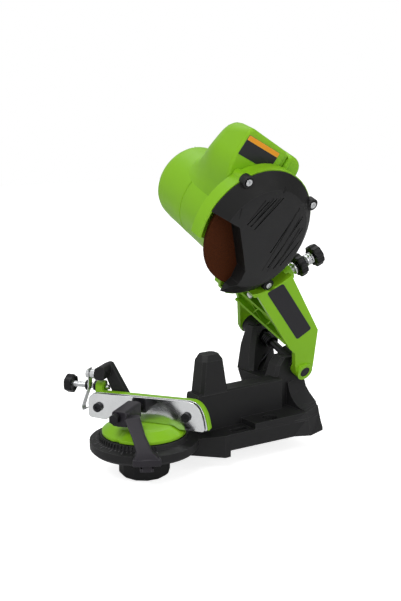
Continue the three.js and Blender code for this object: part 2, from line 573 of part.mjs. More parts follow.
// The space round the spindle that the motor housing, its cap and a small gap take up.
function housingRoom() {
  const [face, back, foot, root, seam] = HOUSING_OUTSIDE;
  const grown = ([r, y], lift) => [r + GAP, y + lift];
  const rear = CAP_PROFILE.slice(0, 4).map((point) => grown(point, 0));
  return turnedY([
    [0, face[1] - GAP], grown(face, -GAP), grown(back, GAP), grown(foot, GAP), grown(root, GAP), grown(seam, 0),
    ...rear, [0, CAP_PROFILE[4][1] + GAP],
  ], FINE);
}

function ringSpots({ turns, ring }) {
  return turns.map((turn) => [ring * Math.cos(radians(turn)), ring * Math.sin(radians(turn))]);
}

function screwSpots() {
  return ringSpots(COVER_SCREWS);
}

function motorHousing() {
  const spots = screwSpots();
  const lugs = spots.map(([x, z]) => shifted(rodY(FLANGE_LUG.radius, FLANGE_LUG.span), x, 0, z));
  const holes = spots.map(([x, z]) => shifted(rodY(COVER_SCREWS.hole, [-FAR, FAR]), x, 0, z));
  const body = joined(turnedY([...HOUSING_FRONT, ...HOUSING_OUTSIDE, ...HOUSING_INSIDE], FINE), ...lugs);
  return cut(body, slab(HOUSING_CUT, HOUSING_CUT_SPAN), ...holes);
}

function motorEndCap() {
  const drills = ringSpots(CAP_SCREWS).flatMap(([x, z]) => [
    shifted(rodY(CAP_SCREWS.hole, [CAP_SCREWS.tip, CAP_SCREWS.tip + 2 * FAR]), x, 0, z),
    shifted(rodY(CAP_SCREWS.head + GAP, [CAP_SCREWS.seat, CAP_SCREWS.seat + FAR]), x, 0, z),
  ]);
  return cut(turnedY(CAP_PROFILE, ROUND), ...drills);
}

function capScrew(turn) {
  const [[x, z]] = ringSpots({ ring: CAP_SCREWS.ring, turns: [turn] });
  const head = rodY(CAP_SCREWS.head, [CAP_SCREWS.seat + GAP, CAP_SCREWS.headTop]);
  const slot = block([-CAP_SCREWS.head - OVERRUN, CAP_SCREWS.head + OVERRUN], [CAP_SCREWS.headTop - GAP, CAP_SCREWS.headTop + OVERRUN], [-GAP, GAP]);
  return shifted(joined(cut(head, slot), rodY(CAP_SCREWS.shank, [CAP_SCREWS.tip, CAP_SCREWS.seat + 2 * GAP])), x, 0, z);
}

// A groove across the cover's face, from one point to another.
function groove([[x0, z0], [x1, z1]]) {
  const length = Math.hypot(x1 - x0, z1 - z0);
  const bar = block([0, length], [COVER_PROFILE[4][1] - OVERRUN, GROOVES.floor], [-GROOVES.width / 2, GROOVES.width / 2]);
  return shifted(moved(bar, new THREE.Matrix4().makeRotationY(-Math.atan2(z1 - z0, x1 - x0))), x0, 0, z0);
}

function wheelCover() {
  const spots = screwSpots();
  const lugs = spots.map(([x, z]) => shifted(rodY(COVER_SCREWS.lug, COVER_SCREWS.lugSpan), x, 0, z));
  const holes = spots.flatMap(([x, z]) => [
    shifted(rodY(COVER_SCREWS.hole, [-FAR, FAR]), x, 0, z),
    shifted(rodY(COVER_SCREWS.lug, [-FAR, COVER_SCREWS.lugSpan[0]]), x, 0, z),
  ]);
  const [x, z] = COVER_WALL;
  const dome = turnedY([...COVER_PROFILE.slice(0, 5), [0, COVER_PROFILE[0][1]]], FINE);
  const room = turnedY([...COVER_PROFILE.slice(5), [COVER_PROFILE[9][0], OVERRUN], [0, OVERRUN]], FINE);
  const hollow = cut(room, shifted(slab(COVER_CUT, [-FAR, FAR]), x, 0, z));
  const shell = joined(cut(dome, hollow), ...lugs);
  return cut(shell, slab(COVER_CUT, [-FAR, FAR]), ...holes, ...GROOVES.lines.map(groove));
}

function coverScrew(turn) {
  const [[x, z]] = ringSpots({ ring: COVER_SCREWS.ring, turns: [turn] });
  const screw = joined(
    rodY(COVER_SCREWS.head, COVER_SCREWS.headSpan),
    rodY(COVER_SCREWS.shank, [COVER_SCREWS.headSpan[0] + GAP, COVER_SCREWS.tip]),
  );
  const socket = rodY(COVER_SCREWS.shank, [COVER_SCREWS.headSpan[0] - OVERRUN, COVER_SCREWS.headSpan[0] + 4 * GAP], HEX);
  return shifted(cut(screw, socket), x, 0, z);
}

function spindleNut() {
  return cut(rodY(SPINDLE_NUT.radius, SPINDLE_NUT.span, HEX), rodY(SPINDLE_PROFILE[3][0] + GAP, [-FAR, 0]));
}

function coolingFan() {
  const f = FAN;
  const blade = block([f.bladeIn, f.disc - GAP], [f.plate[0] + GAP, f.bladeTop], [-f.bladeThick / 2, f.bladeThick / 2]);
  const blades = Array.from({ length: f.blades }, (_, i) => (
    moved(blade, new THREE.Matrix4().makeRotationY(2 * Math.PI * i / f.blades))
  ));
  const hub = rodY(f.hub, [f.plate[0], f.bladeTop]);
  const whole = joined(rodY(f.disc, f.plate, ROUND), hub, ...blades);
  return cut(whole, rodY(SPINDLE_PROFILE[7][0] + GAP, [0, FAR]));
}

function brush(side) {
  const x = BRUSH.out.map((r) => side * r).sort((a, b) => a - b);
  return block(x, BRUSH.along, [-BRUSH.half, BRUSH.half]);
}

function brushHolder(side) {
  const x = HOLDER.out.map((r) => side * r).sort((a, b) => a - b);
  const room = HOLDER.hole;
  return cut(
    block(x, HOLDER.along, [-HOLDER.half, HOLDER.half]),
    block([x[0] - OVERRUN, x[1] + OVERRUN], [BRUSH.along[0] - room, BRUSH.along[1] + room], [-BRUSH.half - room, BRUSH.half + room]),
  );
}

function boxOf({ e, f, y }) {
  return block(e, y, f);
}

function switchBox() {
  return cut(slab(BOX.outline, BOX.y), slab(BOX_HOLLOW.outline, BOX_HOLLOW.y), housingRoom());
}

function switchEnd() {
  return cut(slab(BOX_END.outline, BOX_END.y), boxOf(SWITCH_HOLE), housingRoom());
}

function switchBody() {
  return cut(boxOf(SWITCH_BODY), boxOf(ROCKER_SEAT));
}

function rockerSwitch() {
  return slab(ROCKER.outline, ROCKER.y);
}

function stator() {
  const ways = ringSpots(CAP_SCREWS).map(([x, z]) => shifted(rodY(CAP_SCREWS.hole, [0, 2 * FAR]), x, 0, z));
  return cut(turnedY(STATOR_PROFILE, ROUND), ...ways);
}

// Depth stop, along X from the rod's tip

function depthRod() {
  return joined(rodX(ROD.radius, [0, ROD.length]), rodX(ROD.collar, ROD.collarSpan));
}

function knobX(radius, lobes, span) {
  return moved(raised(lobed(radius, lobes, LOBE_SHARE), span), new THREE.Matrix4().makeRotationY(Math.PI / 2));
}

function lockKnob() {
  const whole = joined(knobX(LOCK_KNOB.radius, KNOB_LOBES, LOCK_KNOB.span), rodX(LOCK_KNOB.hub, LOCK_KNOB.hubSpan));
  return cut(whole, rodX(ROD.radius + GAP, [0, 2 * ROD.length]));
}

function depthKnob() {
  const whole = knobX(DEPTH_KNOB.radius, KNOB_LOBES, DEPTH_KNOB.span);
  return cut(whole, rodX(ROD.radius + GAP, [0, ROD.length + GAP]));
}

// Pieces of the vise

function viseBody() {
  const table = turnedZ(TURNTABLE_PROFILE, FINE);
  const nutBlock = block(NUT_BLOCK.s, NUT_BLOCK.y, NUT_BLOCK.up);
  const holes = JAW_SCREWS.s.map((s) => shifted(rodY(JAW_SCREWS.hole, [0, JAW_SCREWS.tip + GAP]), s, 0, JAW_SCREWS.up));
  const screwWay = shifted(rodX(ADJUSTER.radius + GAP, [-FAR, 0]), 0, ADJUSTER.y, ADJUSTER.up);
  const boltWay = rodZ(TURNTABLE_PROFILE[5][0], [TURNTABLE_PROFILE[6][1], SWIVEL_BOLT.headTop + 2 * GAP], FINE);
  return cut(joined(table, slab(REAR_JAW.outline, REAR_JAW.y), nutBlock), ...holes, screwWay, boltWay);
}

function jawPlate({ y, outline }) {
  const holes = JAW_SCREWS.s.map((s) => shifted(rodY(JAW_SCREWS.hole, [y[0] - OVERRUN, y[1] + OVERRUN]), s, 0, JAW_SCREWS.up));
  return cut(slab(outline, y), ...holes);
}

function jawScrew(s) {
  const screw = joined(
    rodY(JAW_SCREWS.head, JAW_SCREWS.headSpan),
    rodY(JAW_SCREWS.shank, [JAW_SCREWS.headSpan[0] + GAP, JAW_SCREWS.tip]),
  );
  const socket = rodY(JAW_SCREWS.shank, [JAW_SCREWS.headSpan[0] - OVERRUN, JAW_SCREWS.headSpan[0] + 4 * GAP], HEX);
  return shifted(cut(screw, socket), s, 0, JAW_SCREWS.up);
}

function clampArm() {
  const b = CLAMP_ARM_BLOCK;
  const c = b.cut;
  const profile = [
    [b.s[0] + c, b.up[0]], [b.s[1], b.up[0]], [b.s[1], b.up[1] - c], [b.s[1] - c, b.up[1]],
    [b.s[0] + c, b.up[1]], [b.s[0], b.up[1] - c], [b.s[0], b.up[0] + c],
  ];
  const screwWay = shifted(rodY(CLAMP_SCREW.radius + GAP, [-FAR, 0]), CLAMP_SCREW.s, 0, CLAMP_SCREW.up);
  return cut(joined(slab(profile, b.y), clampLeg()), screwWay);
}

// The stem down to the lug at the platform's rim, and the leg that hooks under it to an eye on the swivel bolt.
function clampLeg() {
  const { turn, length, half, ring, up } = CLAMP_LEG;
  const rim = cut(rodZ(CLAMP_LUG.outer, CLAMP_LUG.up, FINE), rodZ(CLAMP_LUG.inner, [0, FAR], FINE));
  const lug = rim.intersect(block([0, FAR], [-CLAMP_LUG.half, CLAMP_LUG.half], [0, FAR]));
  const whole = joined(
    block([0, length], [-half, half], up),
    rodZ(ring, up, ROUND),
    lug,
    tapered(CLAMP_STEM),
  );
  const eye = rodZ(SWIVEL_BOLT.radius + 2 * GAP, [0, FAR]);
  return moved(cut(whole, eye), new THREE.Matrix4().makeRotationZ(radians(turn)));
}

function clampScrew() {
  const c = CLAMP_SCREW;
  const screw = joined(rodY(c.head, c.headSpan, HEX), rodY(c.radius, [c.headSpan[0] + GAP, c.tip]));
  return shifted(screw, c.s, 0, c.up);
}

function stopArm() {
  const pivotWay = shifted(rodX(STOP_PIVOT.bore, [-FAR, STOP_PIVOT.shankEnd + GAP]), 0, STOP_PIVOT.y, STOP_PIVOT.up);
  const screwWay = shifted(rodX(ADJUSTER.radius + GAP, [-FAR, ADJUSTER.end + GAP]), 0, ADJUSTER.y, ADJUSTER.up);
  return cut(joined(slab(STOP_ARM.outline, STOP_ARM.y), slab(STOP_HEAD.outline, STOP_HEAD.y)), pivotWay, screwWay);
}

function stopBush() {
  return cut(rodX(STOP_PIVOT.bush, STOP_PIVOT.bushSpan), rodX(STOP_PIVOT.bore, [-FAR, 0]));
}

function stopBolt() {
  const { head, headSpan, shank, shankEnd } = STOP_PIVOT;
  return joined(rodX(head, headSpan), rodX(shank, [headSpan[0] + GAP, shankEnd]));
}

// The thin steel leaf that the chain's tooth rests on: a strip that follows its line.
function chainStop() {
  const half = STOP_LEAF.thick / 2;
  const points = STOP_LEAF.line.map(([x, z]) => new THREE.Vector2(x, z));
  const normals = points.map((point, i) => {
    const before = points[Math.max(i - 1, 0)];
    const after = points[Math.min(i + 1, points.length - 1)];
    const run = after.clone().sub(before).normalize();
    return new THREE.Vector2(-run.y, run.x);
  });
  const left = points.map((point, i) => point.clone().addScaledVector(normals[i], half).toArray());
  const right = points.map((point, i) => point.clone().addScaledVector(normals[i], -half).toArray());
  const strip = slab([...left, ...right.reverse()], STOP_LEAF.y);
  const hole = shifted(rodX(STOP_LEAF.hole, [-FAR, 0]), 0, STOP_PIVOT.y, STOP_PIVOT.up);
  return cut(strip, hole);
}

function adjusterKnob() {
  const whole = knobX(ADJUSTER.knob, ADJUSTER.lobes, ADJUSTER.knobSpan);
  return cut(whole, rodX(ADJUSTER.radius + GAP, [ADJUSTER.start - GAP, 0]));
}

function adjusterRing(radius, span, facets) {
  return cut(rodX(radius, span, facets), rodX(ADJUSTER.radius + GAP, [-2 * FAR, 0]));
}

function swivelBolt() {
  const b = SWIVEL_BOLT;
  return joined(rodZ(b.radius, [b.low, b.top + GAP]), rodZ(b.head, [b.top, b.headTop]));
}

function swivelKnob() {
  return cut(turnedZ(SWIVEL_KNOB.profile, SWIVEL_KNOB.sides), rodZ(SWIVEL_KNOB.bore, [SWIVEL_KNOB.boreFloor, FAR]));
}

// Assembly: each frame is a group, and each piece is a mesh in its group

const PAINTS = {
  green: { color: 0x7fbf2e, roughness: 0.4, metalness: 0 },
  black: { color: 0x2b2c2e, roughness: 0.55, metalness: 0 },
  steel: { color: 0xb9bcc0, roughness: 0.35, metalness: 1 },
  chrome: { color: 0xdfe3e6, roughness: 0.15, metalness: 1 },
  wheel: { color: 0x5b2a1b, roughness: 0.9, metalness: 0 },
  copper: { color: 0xb46a3c, roughness: 0.4, metalness: 1 },
  pale: { color: 0xd8d4c4, roughness: 0.6, metalness: 0 },
};

const part = new THREE.Group();
part.name = "bench_chain_grinder";

function frameIn(parent, [x, y, z], [turnX, turnY, turnZ] = [0, 0, 0]) {
  const frame = new THREE.Group();
  frame.position.set(x, y, z);
  frame.rotation.set(radians(turnX), radians(turnY), radians(turnZ));
  parent.add(frame);
  return frame;
}

const base = frameIn(part, [VISE_X, VISE_Y, 0]);
const vise = frameIn(base, [SWIVEL[0], SWIVEL[1], 0], [0, 0, VISE_TURN - 90]);
const head = frameIn(base, [0, 0, CHAIN_UP], [HEAD_TILT, 0, 0]);
const hinge = frameIn(head, [HINGE_X, 0, HINGE_UP]);
const spindle = frameIn(head, [SPINDLE_X, 0, SPINDLE_UP]);
const box = frameIn(spindle, [0, 0, 0], [0, -BOX_TURN, 0]);
const rod = frameIn(head, [ROD.tipX, ROD.tipY, ROD.tipUp], [0, -ROD.rise, 0]);
const stopPivot = frameIn(vise, [0, STOP_PIVOT.y, STOP_PIVOT.up]);
const adjuster = frameIn(vise, [0, ADJUSTER.y, ADJUSTER.up]);

function add(frame, name, paint, solid) {
  const mesh = solid.getMesh();
  const geometry = new THREE.BufferGeometry();
  geometry.setAttribute("position", new THREE.Float32BufferAttribute(mesh.vertProperties, 3));
  geometry.setIndex(Array.from(mesh.triVerts));
  geometry.computeVertexNormals();
  const piece = new THREE.Mesh(geometry, new THREE.MeshStandardMaterial(PAINTS[paint]));
  piece.name = name;
  frame.add(piece);
}

add(base, "base_moulding", "black", baseMoulding());
add(hinge, "near_hinge_bush", "pale", ringY(HINGE.bushOut, HINGE.shaft + GAP, HINGE.nearBush));
add(hinge, "far_hinge_bush", "pale", ringY(HINGE.bushOut, HINGE.shaft + GAP, HINGE.farBush));
add(hinge, "hinge_shaft", "steel", hingeShaft());
add(hinge, "hinge_nut", "steel", hingeNut());
add(hinge, "return_spring", "steel", returnSpring());

add(head, "arm_yoke", "green", armYoke());
add(spindle, "motor_housing", "green", motorHousing());
add(spindle, "motor_end_cap", "green", motorEndCap());
add(spindle, "cap_screw_top", "steel", capScrew(CAP_SCREWS.turns[0]));
add(spindle, "cap_screw_low", "steel", capScrew(CAP_SCREWS.turns[1]));
add(box, "switch_box", "green", switchBox());
add(box, "switch_box_end", "green", switchEnd());
add(box, "switch_body", "black", switchBody());
add(box, "rocker_switch", "black", rockerSwitch());
add(spindle, "wheel_cover", "black", wheelCover());
add(spindle, "cover_screw_top", "steel", coverScrew(COVER_SCREWS.turns[0]));
add(spindle, "cover_screw_side", "steel", coverScrew(COVER_SCREWS.turns[1]));
add(spindle, "cover_screw_low", "steel", coverScrew(COVER_SCREWS.turns[2]));

add(spindle, "grinding_wheel", "wheel", turnedY(WHEEL_PROFILE, FINE));
add(spindle, "inner_flange", "steel", turnedY(INNER_FLANGE_PROFILE, ROUND));
add(spindle, "outer_flange", "steel", turnedY(OUTER_FLANGE_PROFILE, ROUND));
add(spindle, "spindle_nut", "steel", spindleNut());
add(spindle, "spindle", "steel", turnedY(SPINDLE_PROFILE, SMALL));
add(spindle, "cooling_fan", "pale", coolingFan());
add(spindle, "rotor", "copper", turnedY(ROTOR_PROFILE, ROUND));
add(spindle, "commutator", "copper", turnedY(COMMUTATOR_PROFILE, SMALL));
add(spindle, "front_bearing", "steel", shifted(turnedY(BEARING_PROFILE, SMALL), 0, BEARING_STARTS[0], 0));
add(spindle, "rear_bearing", "steel", shifted(turnedY(BEARING_PROFILE, SMALL), 0, BEARING_STARTS[1], 0));
add(spindle, "stator", "steel", stator());
add(spindle, "carbon_brush_left", "black", brush(-1));
add(spindle, "carbon_brush_right", "black", brush(1));
add(spindle, "brush_holder_left", "pale", brushHolder(-1));
add(spindle, "brush_holder_right", "pale", brushHolder(1));

add(rod, "depth_rod", "steel", depthRod());
add(rod, "depth_lock_knob", "black", lockKnob());
add(rod, "depth_knob", "black", depthKnob());

add(vise, "vise_body", "green", viseBody());
add(vise, "far_jaw_plate", "chrome", jawPlate(FAR_JAW));
add(vise, "near_jaw_plate", "chrome", jawPlate(NEAR_JAW));
add(vise, "jaw_screw_left", "black", jawScrew(JAW_SCREWS.s[0]));
add(vise, "jaw_screw_right", "black", jawScrew(JAW_SCREWS.s[1]));
add(vise, "clamp_arm", "black", clampArm());
add(vise, "clamp_screw", "black", clampScrew());
add(vise, "stop_arm", "black", stopArm());
add(stopPivot, "stop_bush", "steel", stopBush());
add(stopPivot, "stop_bolt", "steel", stopBolt());
add(vise, "chain_stop", "steel", chainStop());
add(adjuster, "adjuster_screw", "steel", rodX(ADJUSTER.radius, [ADJUSTER.start, ADJUSTER.end]));
add(adjuster, "adjuster_knob", "black", adjusterKnob());
add(adjuster, "adjuster_washer", "black", adjusterRing(ADJUSTER.washer, ADJUSTER.washerSpan, SMALL));
add(adjuster, "adjuster_nut", "black", adjusterRing(ADJUSTER.nut, ADJUSTER.nutSpan, HEX));
add(vise, "swivel_bolt", "steel", swivelBolt());
add(vise, "swivel_knob", "black", swivelKnob());

export default part;
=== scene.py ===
import math

import bmesh
import bpy
from mathutils import Matrix, Vector


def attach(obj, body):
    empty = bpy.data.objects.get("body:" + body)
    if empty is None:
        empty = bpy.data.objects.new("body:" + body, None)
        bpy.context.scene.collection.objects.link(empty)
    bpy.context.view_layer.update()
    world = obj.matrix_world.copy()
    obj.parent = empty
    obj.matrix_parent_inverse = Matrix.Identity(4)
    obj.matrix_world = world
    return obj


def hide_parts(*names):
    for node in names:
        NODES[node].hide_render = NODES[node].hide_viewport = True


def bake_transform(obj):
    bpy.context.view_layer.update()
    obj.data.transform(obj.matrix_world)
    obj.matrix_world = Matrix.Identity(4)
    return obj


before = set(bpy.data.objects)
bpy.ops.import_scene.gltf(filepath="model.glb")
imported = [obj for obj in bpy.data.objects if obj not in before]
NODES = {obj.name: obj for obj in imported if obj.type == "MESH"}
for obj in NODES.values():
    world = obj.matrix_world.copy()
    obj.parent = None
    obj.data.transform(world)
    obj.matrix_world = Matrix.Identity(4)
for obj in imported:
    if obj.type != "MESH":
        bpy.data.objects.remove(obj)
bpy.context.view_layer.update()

# Bench chain grinder, dressed for the photograph. Lengths are in millimetres unless a name says metres.

MM = 0.001

# Frames of the part: every piece is drawn in the frame of what carries it
BASE_PLACE = (-126.0, -13.5, 0.0)
SWIVEL_PLACE = (2.3, -3.3, 0.0)
JAW_TURN = -55.0
CHAIN_UP = 53.0
HEAD_TILT = 21.0
SPINDLE_PLACE = (83.7, 0.0, 162.8)
HINGE_PLACE = (176.0, 0.0, 11.0)
BOX_TURN = 25.0
ROD_PLACE = (99.2, 1.5, 94.5)
ROD_RISE = 27.6


def turned(axis, degrees):
    return Matrix.Rotation(math.radians(degrees), 4, axis)


BASE = Matrix.Scale(MM, 4) @ Matrix.Translation(BASE_PLACE)
SWIVEL = BASE @ Matrix.Translation(SWIVEL_PLACE)
VISE = SWIVEL @ turned("Z", JAW_TURN)
HEAD = BASE @ Matrix.Translation((0.0, 0.0, CHAIN_UP)) @ turned("X", HEAD_TILT)
HINGE = HEAD @ Matrix.Translation(HINGE_PLACE)
SPINDLE = HEAD @ Matrix.Translation(SPINDLE_PLACE)
BOX = SPINDLE @ turned("Y", BOX_TURN)
ROD_LINE = HEAD @ Matrix.Translation(ROD_PLACE) @ turned("Y", -ROD_RISE)


# Shader groups

NOISE_DETAIL = {"Grain": 2.0, "Mottle": 4.0}
NOISE_SIZE_MM = {"Grain": 0.6, "Mottle": 30.0}
NOISE_SHARES = (0.35, 0.65)  # nearly all of a noise lies between these
EDGE_WIDTH_MM = 0.8
EDGE_SAMPLES = 3
EDGE_FACING_SHARES = (0.995, 0.90)  # how alike two normals are where an edge starts, and where it is full
SLOPE_SHARE = 0.9


def new_group(name, sockets_in, sockets_out):
    group = bpy.data.node_groups.new(name, "ShaderNodeTree")
    for label, kind, value in sockets_in:
        socket = group.interface.new_socket(name=label, in_out="INPUT", socket_type=kind)
        socket.default_value = value
    for label, kind in sockets_out:
        group.interface.new_socket(name=label, in_out="OUTPUT", socket_type=kind)
    return group, group.nodes.new("NodeGroupInput"), group.nodes.new("NodeGroupOutput")


def grain_group():
    """Fine moulded grain and a broad mottle, both round a middle of one half."""
    group, given, result = new_group(
        "moulded_grain",
        [(label + " Size mm", "NodeSocketFloat", size) for label, size in NOISE_SIZE_MM.items()],
        [("Grain", "NodeSocketFloat"), ("Mottle", "NodeSocketFloat")],
    )
    place = group.nodes.new("ShaderNodeTexCoord")
    for label, detail in NOISE_DETAIL.items():
        scale = group.nodes.new("ShaderNodeMath")
        scale.operation = "DIVIDE"
        scale.inputs[0].default_value = 1.0 / MM
        group.links.new(given.outputs[label + " Size mm"], scale.inputs[1])
        noise = group.nodes.new("ShaderNodeTexNoise")
        noise.inputs["Detail"].default_value = detail
        group.links.new(place.outputs["Object"], noise.inputs["Vector"])
        group.links.new(scale.outputs[0], noise.inputs["Scale"])
        group.links.new(noise.outputs["Fac"], result.inputs[label])
    return group


def edge_highlight_group():
    """A mask of 1 along edges, where a highlight is painted: there the surface and its softened copy face
    apart.
    """
    group, given, result = new_group(
        "painted_edge_highlight",
        [("Edge Width mm", "NodeSocketFloat", EDGE_WIDTH_MM)],
        [("Mask", "NodeSocketFloat")],
    )
    width = group.nodes.new("ShaderNodeMath")
    width.operation = "MULTIPLY"
    width.inputs[1].default_value = MM
    group.links.new(given.outputs["Edge Width mm"], width.inputs[0])
    soft = group.nodes.new("ShaderNodeBevel")
    soft.samples = EDGE_SAMPLES
    group.links.new(width.outputs[0], soft.inputs["Radius"])
    shape = group.nodes.new("ShaderNodeNewGeometry")
    apart = group.nodes.new("ShaderNodeVectorMath")
    apart.operation = "DOT_PRODUCT"
    group.links.new(soft.outputs["Normal"], apart.inputs[0])
    group.links.new(shape.outputs["Normal"], apart.inputs[1])
    mask = group.nodes.new("ShaderNodeMapRange")
    mask.inputs["From Min"].default_value, mask.inputs["From Max"].default_value = EDGE_FACING_SHARES
    group.links.new(apart.outputs["Value"], mask.inputs["Value"])
    group.links.new(mask.outputs[0], result.inputs["Mask"])
    return group


def facing_group():
    """A mask of 1 on the faces that look along an axis of the piece, 0 on those that slope away from it."""
    group, given, result = new_group(
        "facing_along",
        [("Axis", "NodeSocketVector", (0.0, 0.0, 1.0)), ("Slope Share", "NodeSocketFloat", SLOPE_SHARE)],
        [("Mask", "NodeSocketFloat")],
    )
    place = group.nodes.new("ShaderNodeTexCoord")
    along = group.nodes.new("ShaderNodeVectorMath")
    along.operation = "DOT_PRODUCT"
    group.links.new(place.outputs["Normal"], along.inputs[0])
    group.links.new(given.outputs["Axis"], along.inputs[1])
    mask = group.nodes.new("ShaderNodeMapRange")
    mask.inputs["From Max"].default_value = 1.0
    group.links.new(given.outputs["Slope Share"], mask.inputs["From Min"])
    group.links.new(along.outputs["Value"], mask.inputs["Value"])
    group.links.new(mask.outputs[0], result.inputs["Mask"])
    return group


GRAIN = grain_group()
EDGE_HIGHLIGHT = edge_highlight_group()
FACING = facing_group()


class Paint:
    """A material under construction: its tree, its shader and the calls that add a node to it."""

    def __init__(self, name, **values):
        self.material = bpy.data.materials.new(name)
        self.material.use_nodes = True
        self.tree = self.material.node_tree
        self.shader = self.tree.nodes["Principled BSDF"]
        for label, value in values.items():
            self.shader.inputs[label.replace("_", " ")].default_value = value

    def node(self, kind, **values):
        made = self.tree.nodes.new(kind)
        for label, value in values.items():
            made.inputs[label.replace("_", " ")].default_value = value
        return made

    def group(self, group, **values):
        made = self.tree.nodes.new("ShaderNodeGroup")
        made.node_tree = group
        for label, value in values.items():
            made.inputs[label.replace("_", " ")].default_value = value
        return made

    def link(self, source, target):
        self.tree.links.new(source, target)

    def mix(self, mask, low, high):
        blend = self.tree.nodes.new("ShaderNodeMix")
        blend.data_type = "RGBA"
        for socket, colour in ((blend.inputs["A"], low), (blend.inputs["B"], high)):
            if isinstance(colour, tuple):
                socket.default_value = (*colour, 1.0)
            else:
                self.link(colour, socket)
        self.link(mask, blend.inputs["Factor"])
        return blend.outputs["Result"]

    def spread(self, value, low, high):
        """A value near one half, stretched to run between low and high."""
        start, end = NOISE_SHARES
        spread = self.node("ShaderNodeMapRange", From_Min=start, From_Max=end, To_Min=low, To_Max=high)
        self.link(value, spread.inputs["Value"])
        return spread.outputs[0]

    def bump(self, height, depth_mm, strength=1.0):
        bump = self.node("ShaderNodeBump", Strength=strength, Distance=depth_mm * MM)
        self.link(height, bump.inputs["Height"])
        self.link(bump.outputs["Normal"], self.shader.inputs["Normal"])

    def colour(self, source):
        self.link(source, self.shader.inputs["Base Color"])

    def rough(self, source):
        self.link(source, self.shader.inputs["Roughness"])


# Finishes: colours are linear, and a pair for roughness runs over the mottle

METAL_MOTTLE_MM = 9.0
COVER_AXIS = tuple(HEAD.to_3x3().normalized() @ Vector((0.0, -1.0, 0.0)))
COVER_SLOPE_SHARE = 0.93
COVER_FACE_TONES = ((0.0125, 0.0125, 0.0130), (0.0165, 0.0165, 0.0172))
# Painted shade: the darker tone of the band that slopes round the cover's face.
COVER_BAND_PAINTED_SHADE = (0.0050, 0.0050, 0.0048)
# Painted highlight along the cover's edges.
COVER_EDGE_HIGHLIGHT = (0.030, 0.030, 0.031)
COVER_ROUGH = (0.42, 0.56)
COVER_GRAIN_MM = 0.5
COVER_GRAIN_DEPTH_MM = 0.05
GRIT_TONES = ((0.028, 0.0070, 0.0022), (0.072, 0.0190, 0.0052))
GRIT_WORN_TONE = (0.058, 0.0145, 0.0042)
GRIT_ROUGH = (0.75, 0.95)
GRIT_SIZE_MM = 0.8
GRIT_MOTTLE_MM = 22.0
GRIT_DEPTH_MM = 0.25
DULL = {"Specular_IOR_Level": 0.22}
CHALKY = {"Specular_IOR_Level": 0.08}


def moulding(name, dark, light, edge, rough, grain_mm, depth_mm, **values):
    """Moulded plastic: a mottle between two near colours, a highlight painted along its edges, fine grain,
    uneven gloss.
    """
    paint = Paint(name, **values)
    grain = paint.group(GRAIN, Grain_Size_mm=grain_mm)
    edges = paint.group(EDGE_HIGHLIGHT)
    flat = paint.mix(grain.outputs["Mottle"], dark, light)
    # The edge colour is a painted highlight along the edges.
    paint.colour(paint.mix(edges.outputs["Mask"], flat, edge))
    paint.rough(paint.spread(grain.outputs["Mottle"], *rough))
    paint.bump(grain.outputs["Grain"], depth_mm)
    return paint.material


def metal(name, dark, light, rough, grain_mm, depth_mm, **values):
    """Bare or plated metal: a cloudy tone, with fine marks that break up the gloss."""
    paint = Paint(name, Metallic=1.0, **values)
    grain = paint.group(GRAIN, Grain_Size_mm=grain_mm, Mottle_Size_mm=METAL_MOTTLE_MM)
    paint.colour(paint.mix(grain.outputs["Mottle"], dark, light))
    paint.rough(paint.spread(grain.outputs["Mottle"], *rough))
    paint.bump(grain.outputs["Grain"], depth_mm)
    return paint.material


def cover_black():
    """The wheel cover's plastic: the band that slopes round its face is painted darker than the face, as
    shade.
    """
    paint = Paint("wheel_cover_black", **DULL)
    grain = paint.group(GRAIN, Grain_Size_mm=COVER_GRAIN_MM)
    facing = paint.group(FACING, Axis=COVER_AXIS, Slope_Share=COVER_SLOPE_SHARE)
    edges = paint.group(EDGE_HIGHLIGHT)
    face = paint.mix(grain.outputs["Mottle"], *COVER_FACE_TONES)
    # Painted shade: the sloping band takes the darker tone, the face keeps its own mottle.
    whole = paint.mix(facing.outputs["Mask"], COVER_BAND_PAINTED_SHADE, face)
    # Painted highlight along the edges.
    paint.colour(paint.mix(edges.outputs["Mask"], whole, COVER_EDGE_HIGHLIGHT))
    paint.rough(paint.spread(grain.outputs["Mottle"], *COVER_ROUGH))
    paint.bump(grain.outputs["Grain"], COVER_GRAIN_DEPTH_MM)
    return paint.material


def wheel_grit():
    """Bonded grain of the wheel: brown-red grit with dark pores."""
    paint = Paint("wheel_grit", **CHALKY)
    grain = paint.group(GRAIN, Grain_Size_mm=GRIT_SIZE_MM, Mottle_Size_mm=GRIT_MOTTLE_MM)
    grit = paint.mix(paint.spread(grain.outputs["Grain"], 0.0, 1.0), *GRIT_TONES)
    paint.colour(paint.mix(grain.outputs["Mottle"], grit, GRIT_WORN_TONE))
    paint.rough(paint.spread(grain.outputs["Grain"], *GRIT_ROUGH))
    paint.bump(grain.outputs["Grain"], GRIT_DEPTH_MM)
    return paint.material


